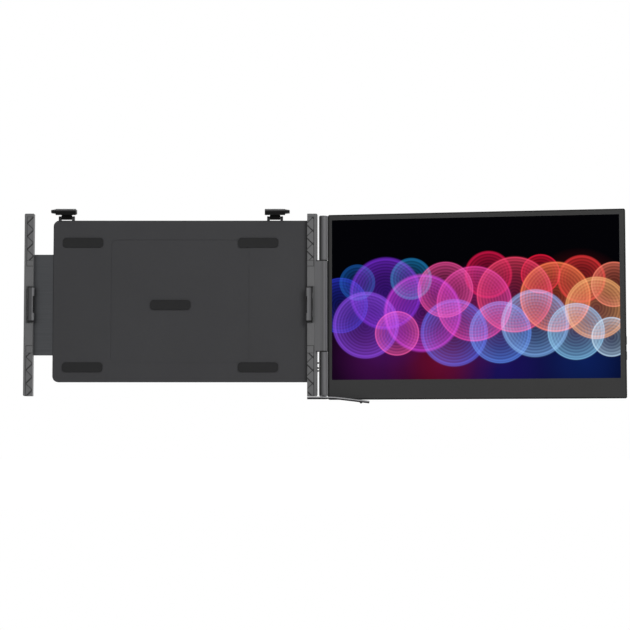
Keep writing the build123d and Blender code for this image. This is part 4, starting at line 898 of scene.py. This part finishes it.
def crossScrew(length, scale):
    look = screwLook
    deselectAll()
    headHeight = look["headHeight"] * scale
    bpy.ops.mesh.primitive_cylinder_add(
        vertices=look["headSides"], radius=look["headRadius"] * scale, depth=headHeight,
        location=(0, 0, -headHeight / 2),
    )
    screw = bpy.context.active_object
    bpy.ops.object.transform_apply(location=True)
    pickFaces(screw, lambda normal: normal.z > facing)
    bpy.ops.mesh.bevel(
        offset=look["rimBevel"] * scale, segments=look["rimSegments"], affect="EDGES"
    )
    pickFaces(screw, lambda normal: normal.z < -facing)
    bpy.ops.mesh.inset(thickness=(look["headRadius"] - look["shaftRadius"]) * scale)
    bpy.ops.mesh.extrude_region_move(TRANSFORM_OT_translate={"value": (0, 0, headHeight - length)})
    bpy.ops.mesh.bevel(
        offset=look["tipBevel"] * scale, segments=look["tipSegments"], affect="EDGES"
    )
    deselectAll()
    recessArms = []
    for angle in (0, 90):
        bpy.ops.mesh.primitive_cube_add(size=1)
        arm = bpy.context.active_object
        # the arm's upper half stands out of the head
        armDepth = 2 * look["recessDepth"] * scale
        arm.scale = (look["recessLength"] * scale, look["recessWidth"] * scale, armDepth)
        arm.rotation_euler.z = radians(angle)
        bpy.ops.object.transform_apply(rotation=True, scale=True)
        pickFaces(arm, lambda normal: normal.z < -facing)
        bpy.ops.transform.resize(value=(look["recessTaper"], look["recessTaper"], 1))
        deselectAll()
        recessArms.append(arm)
    for arm in recessArms:
        deselectAll()
        screw.select_set(True)
        applyModifier(
            screw, "BOOLEAN", {"operation": "DIFFERENCE", "object": arm, "solver": "EXACT"}
        )
        bpy.data.objects.remove(arm, do_unlink=True)
    return screw


def screwPlaces(node, outward):
    # where the heads' tops of a CAD node's screws are, and the longest screw's length
    groups = []
    for vertex in nodes[node].data.vertices:
        near = [group for group in groups if (group[0] - vertex.co).length < screwLook["apart"]]
        if not near:
            near = [[]]
            groups.extend(near)
        near[0].append(vertex.co.copy())
    side = outward.orthogonal().normalized()
    other = outward.cross(side)
    places, length = [], 0.0
    for group in groups:
        middle = Vector((0, 0, 0))
        for axis in (side, other):
            reaches = [point.dot(axis) for point in group]
            middle += axis * (min(reaches) + max(reaches)) / 2
        depths = [point.dot(outward) for point in group]
        places.append(middle + outward * max(depths))
        length = max(length, max(depths) - min(depths))
    return places, length


# CAD node: body, outward direction, size against the small screws
screwSets = {
    "housing_screws": ("frame", Vector((0, 1, 0)), 1.0),
    "left_column_screws": ("left_arm", Vector((0, 1, 0)), 1.0),
    "right_column_screws": ("frame", Vector((0, 1, 0)), 1.0),
    "chin_screws": ("screen", behind, 1.0),
    "leaf_screws": ("screen", behind, 1.0),
    "lug_screw": ("screen", Vector((0, 0, -1)), 1.18),
}
for node, (body, outward, scale) in screwSets.items():
    places, length = screwPlaces(node, outward)
    turned = outward.to_track_quat("Z", "Y").to_matrix().to_4x4()
    placings = []
    for index, place in enumerate(places):
        recessTurn = Matrix.Rotation(radians(screwLook["turn"] * index), 4, "Z")
        placings.append(Matrix.Translation(place) @ turned @ recessTurn)
    screws = joinCopies(crossScrew(length, scale), node + "_crossed", placings, "blackOxideSteel")
    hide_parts(node)
    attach(screws, body)
print("screws modelled:", len(screwSets), "sets")

# Gold contacts on both faces of the tongues in the two sockets of the screen's edge
contactLook = {
    "pitch": 0.5 * mm, "count": 12, "width": 0.27 * mm, "length": 4.2 * mm, "thickness": 0.08 * mm,
    "noseBevel": 0.03 * mm, "noseSegments": 2,
    "tongueThickness": 0.7 * mm,
    "tongueTip": 1.0 * mm,  # inside the mouth
    "socketPitch": 10.6 * mm,
}
deselectAll()
bpy.ops.mesh.primitive_cube_add(size=1)
contact = bpy.context.active_object
contact.scale = (contactLook["length"], contactLook["thickness"], contactLook["width"])
bpy.ops.object.transform_apply(scale=True)
pickFaces(contact, lambda normal: abs(normal.x) > facing)
bpy.ops.mesh.bevel(
    offset=contactLook["noseBevel"], segments=contactLook["noseSegments"], affect="EDGES"
)
deselectAll()
socketMouth = nodeReach("usb_c_sockets", along)[1]
socketMiddle = sum(nodeReach("usb_c_sockets", behind)) / 2
socketLevel = sum(nodeReach("usb_c_sockets", up)) / 2
contactMiddle = socketMouth - contactLook["tongueTip"] - contactLook["length"] / 2
screenSwing = Matrix.Rotation(-swing, 4, "Z")
contactPlacings = []
for socket in (-1, 1):
    tongueLevel = socketLevel + socket * contactLook["socketPitch"] / 2
    for face in (-1, 1):
        tongueFace = socketMiddle + face * contactLook["tongueThickness"] / 2
        for index in range(contactLook["count"]):
            level = tongueLevel + (index - (contactLook["count"] - 1) / 2) * contactLook["pitch"]
            place = along * contactMiddle + behind * tongueFace + up * level
            contactPlacings.append(Matrix.Translation(place) @ screenSwing)
contacts = joinCopies(contact, "usb_c_contacts", contactPlacings, "goldFlashedContacts")
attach(contacts, "screen")
print("contacts modelled:", len(contactPlacings))
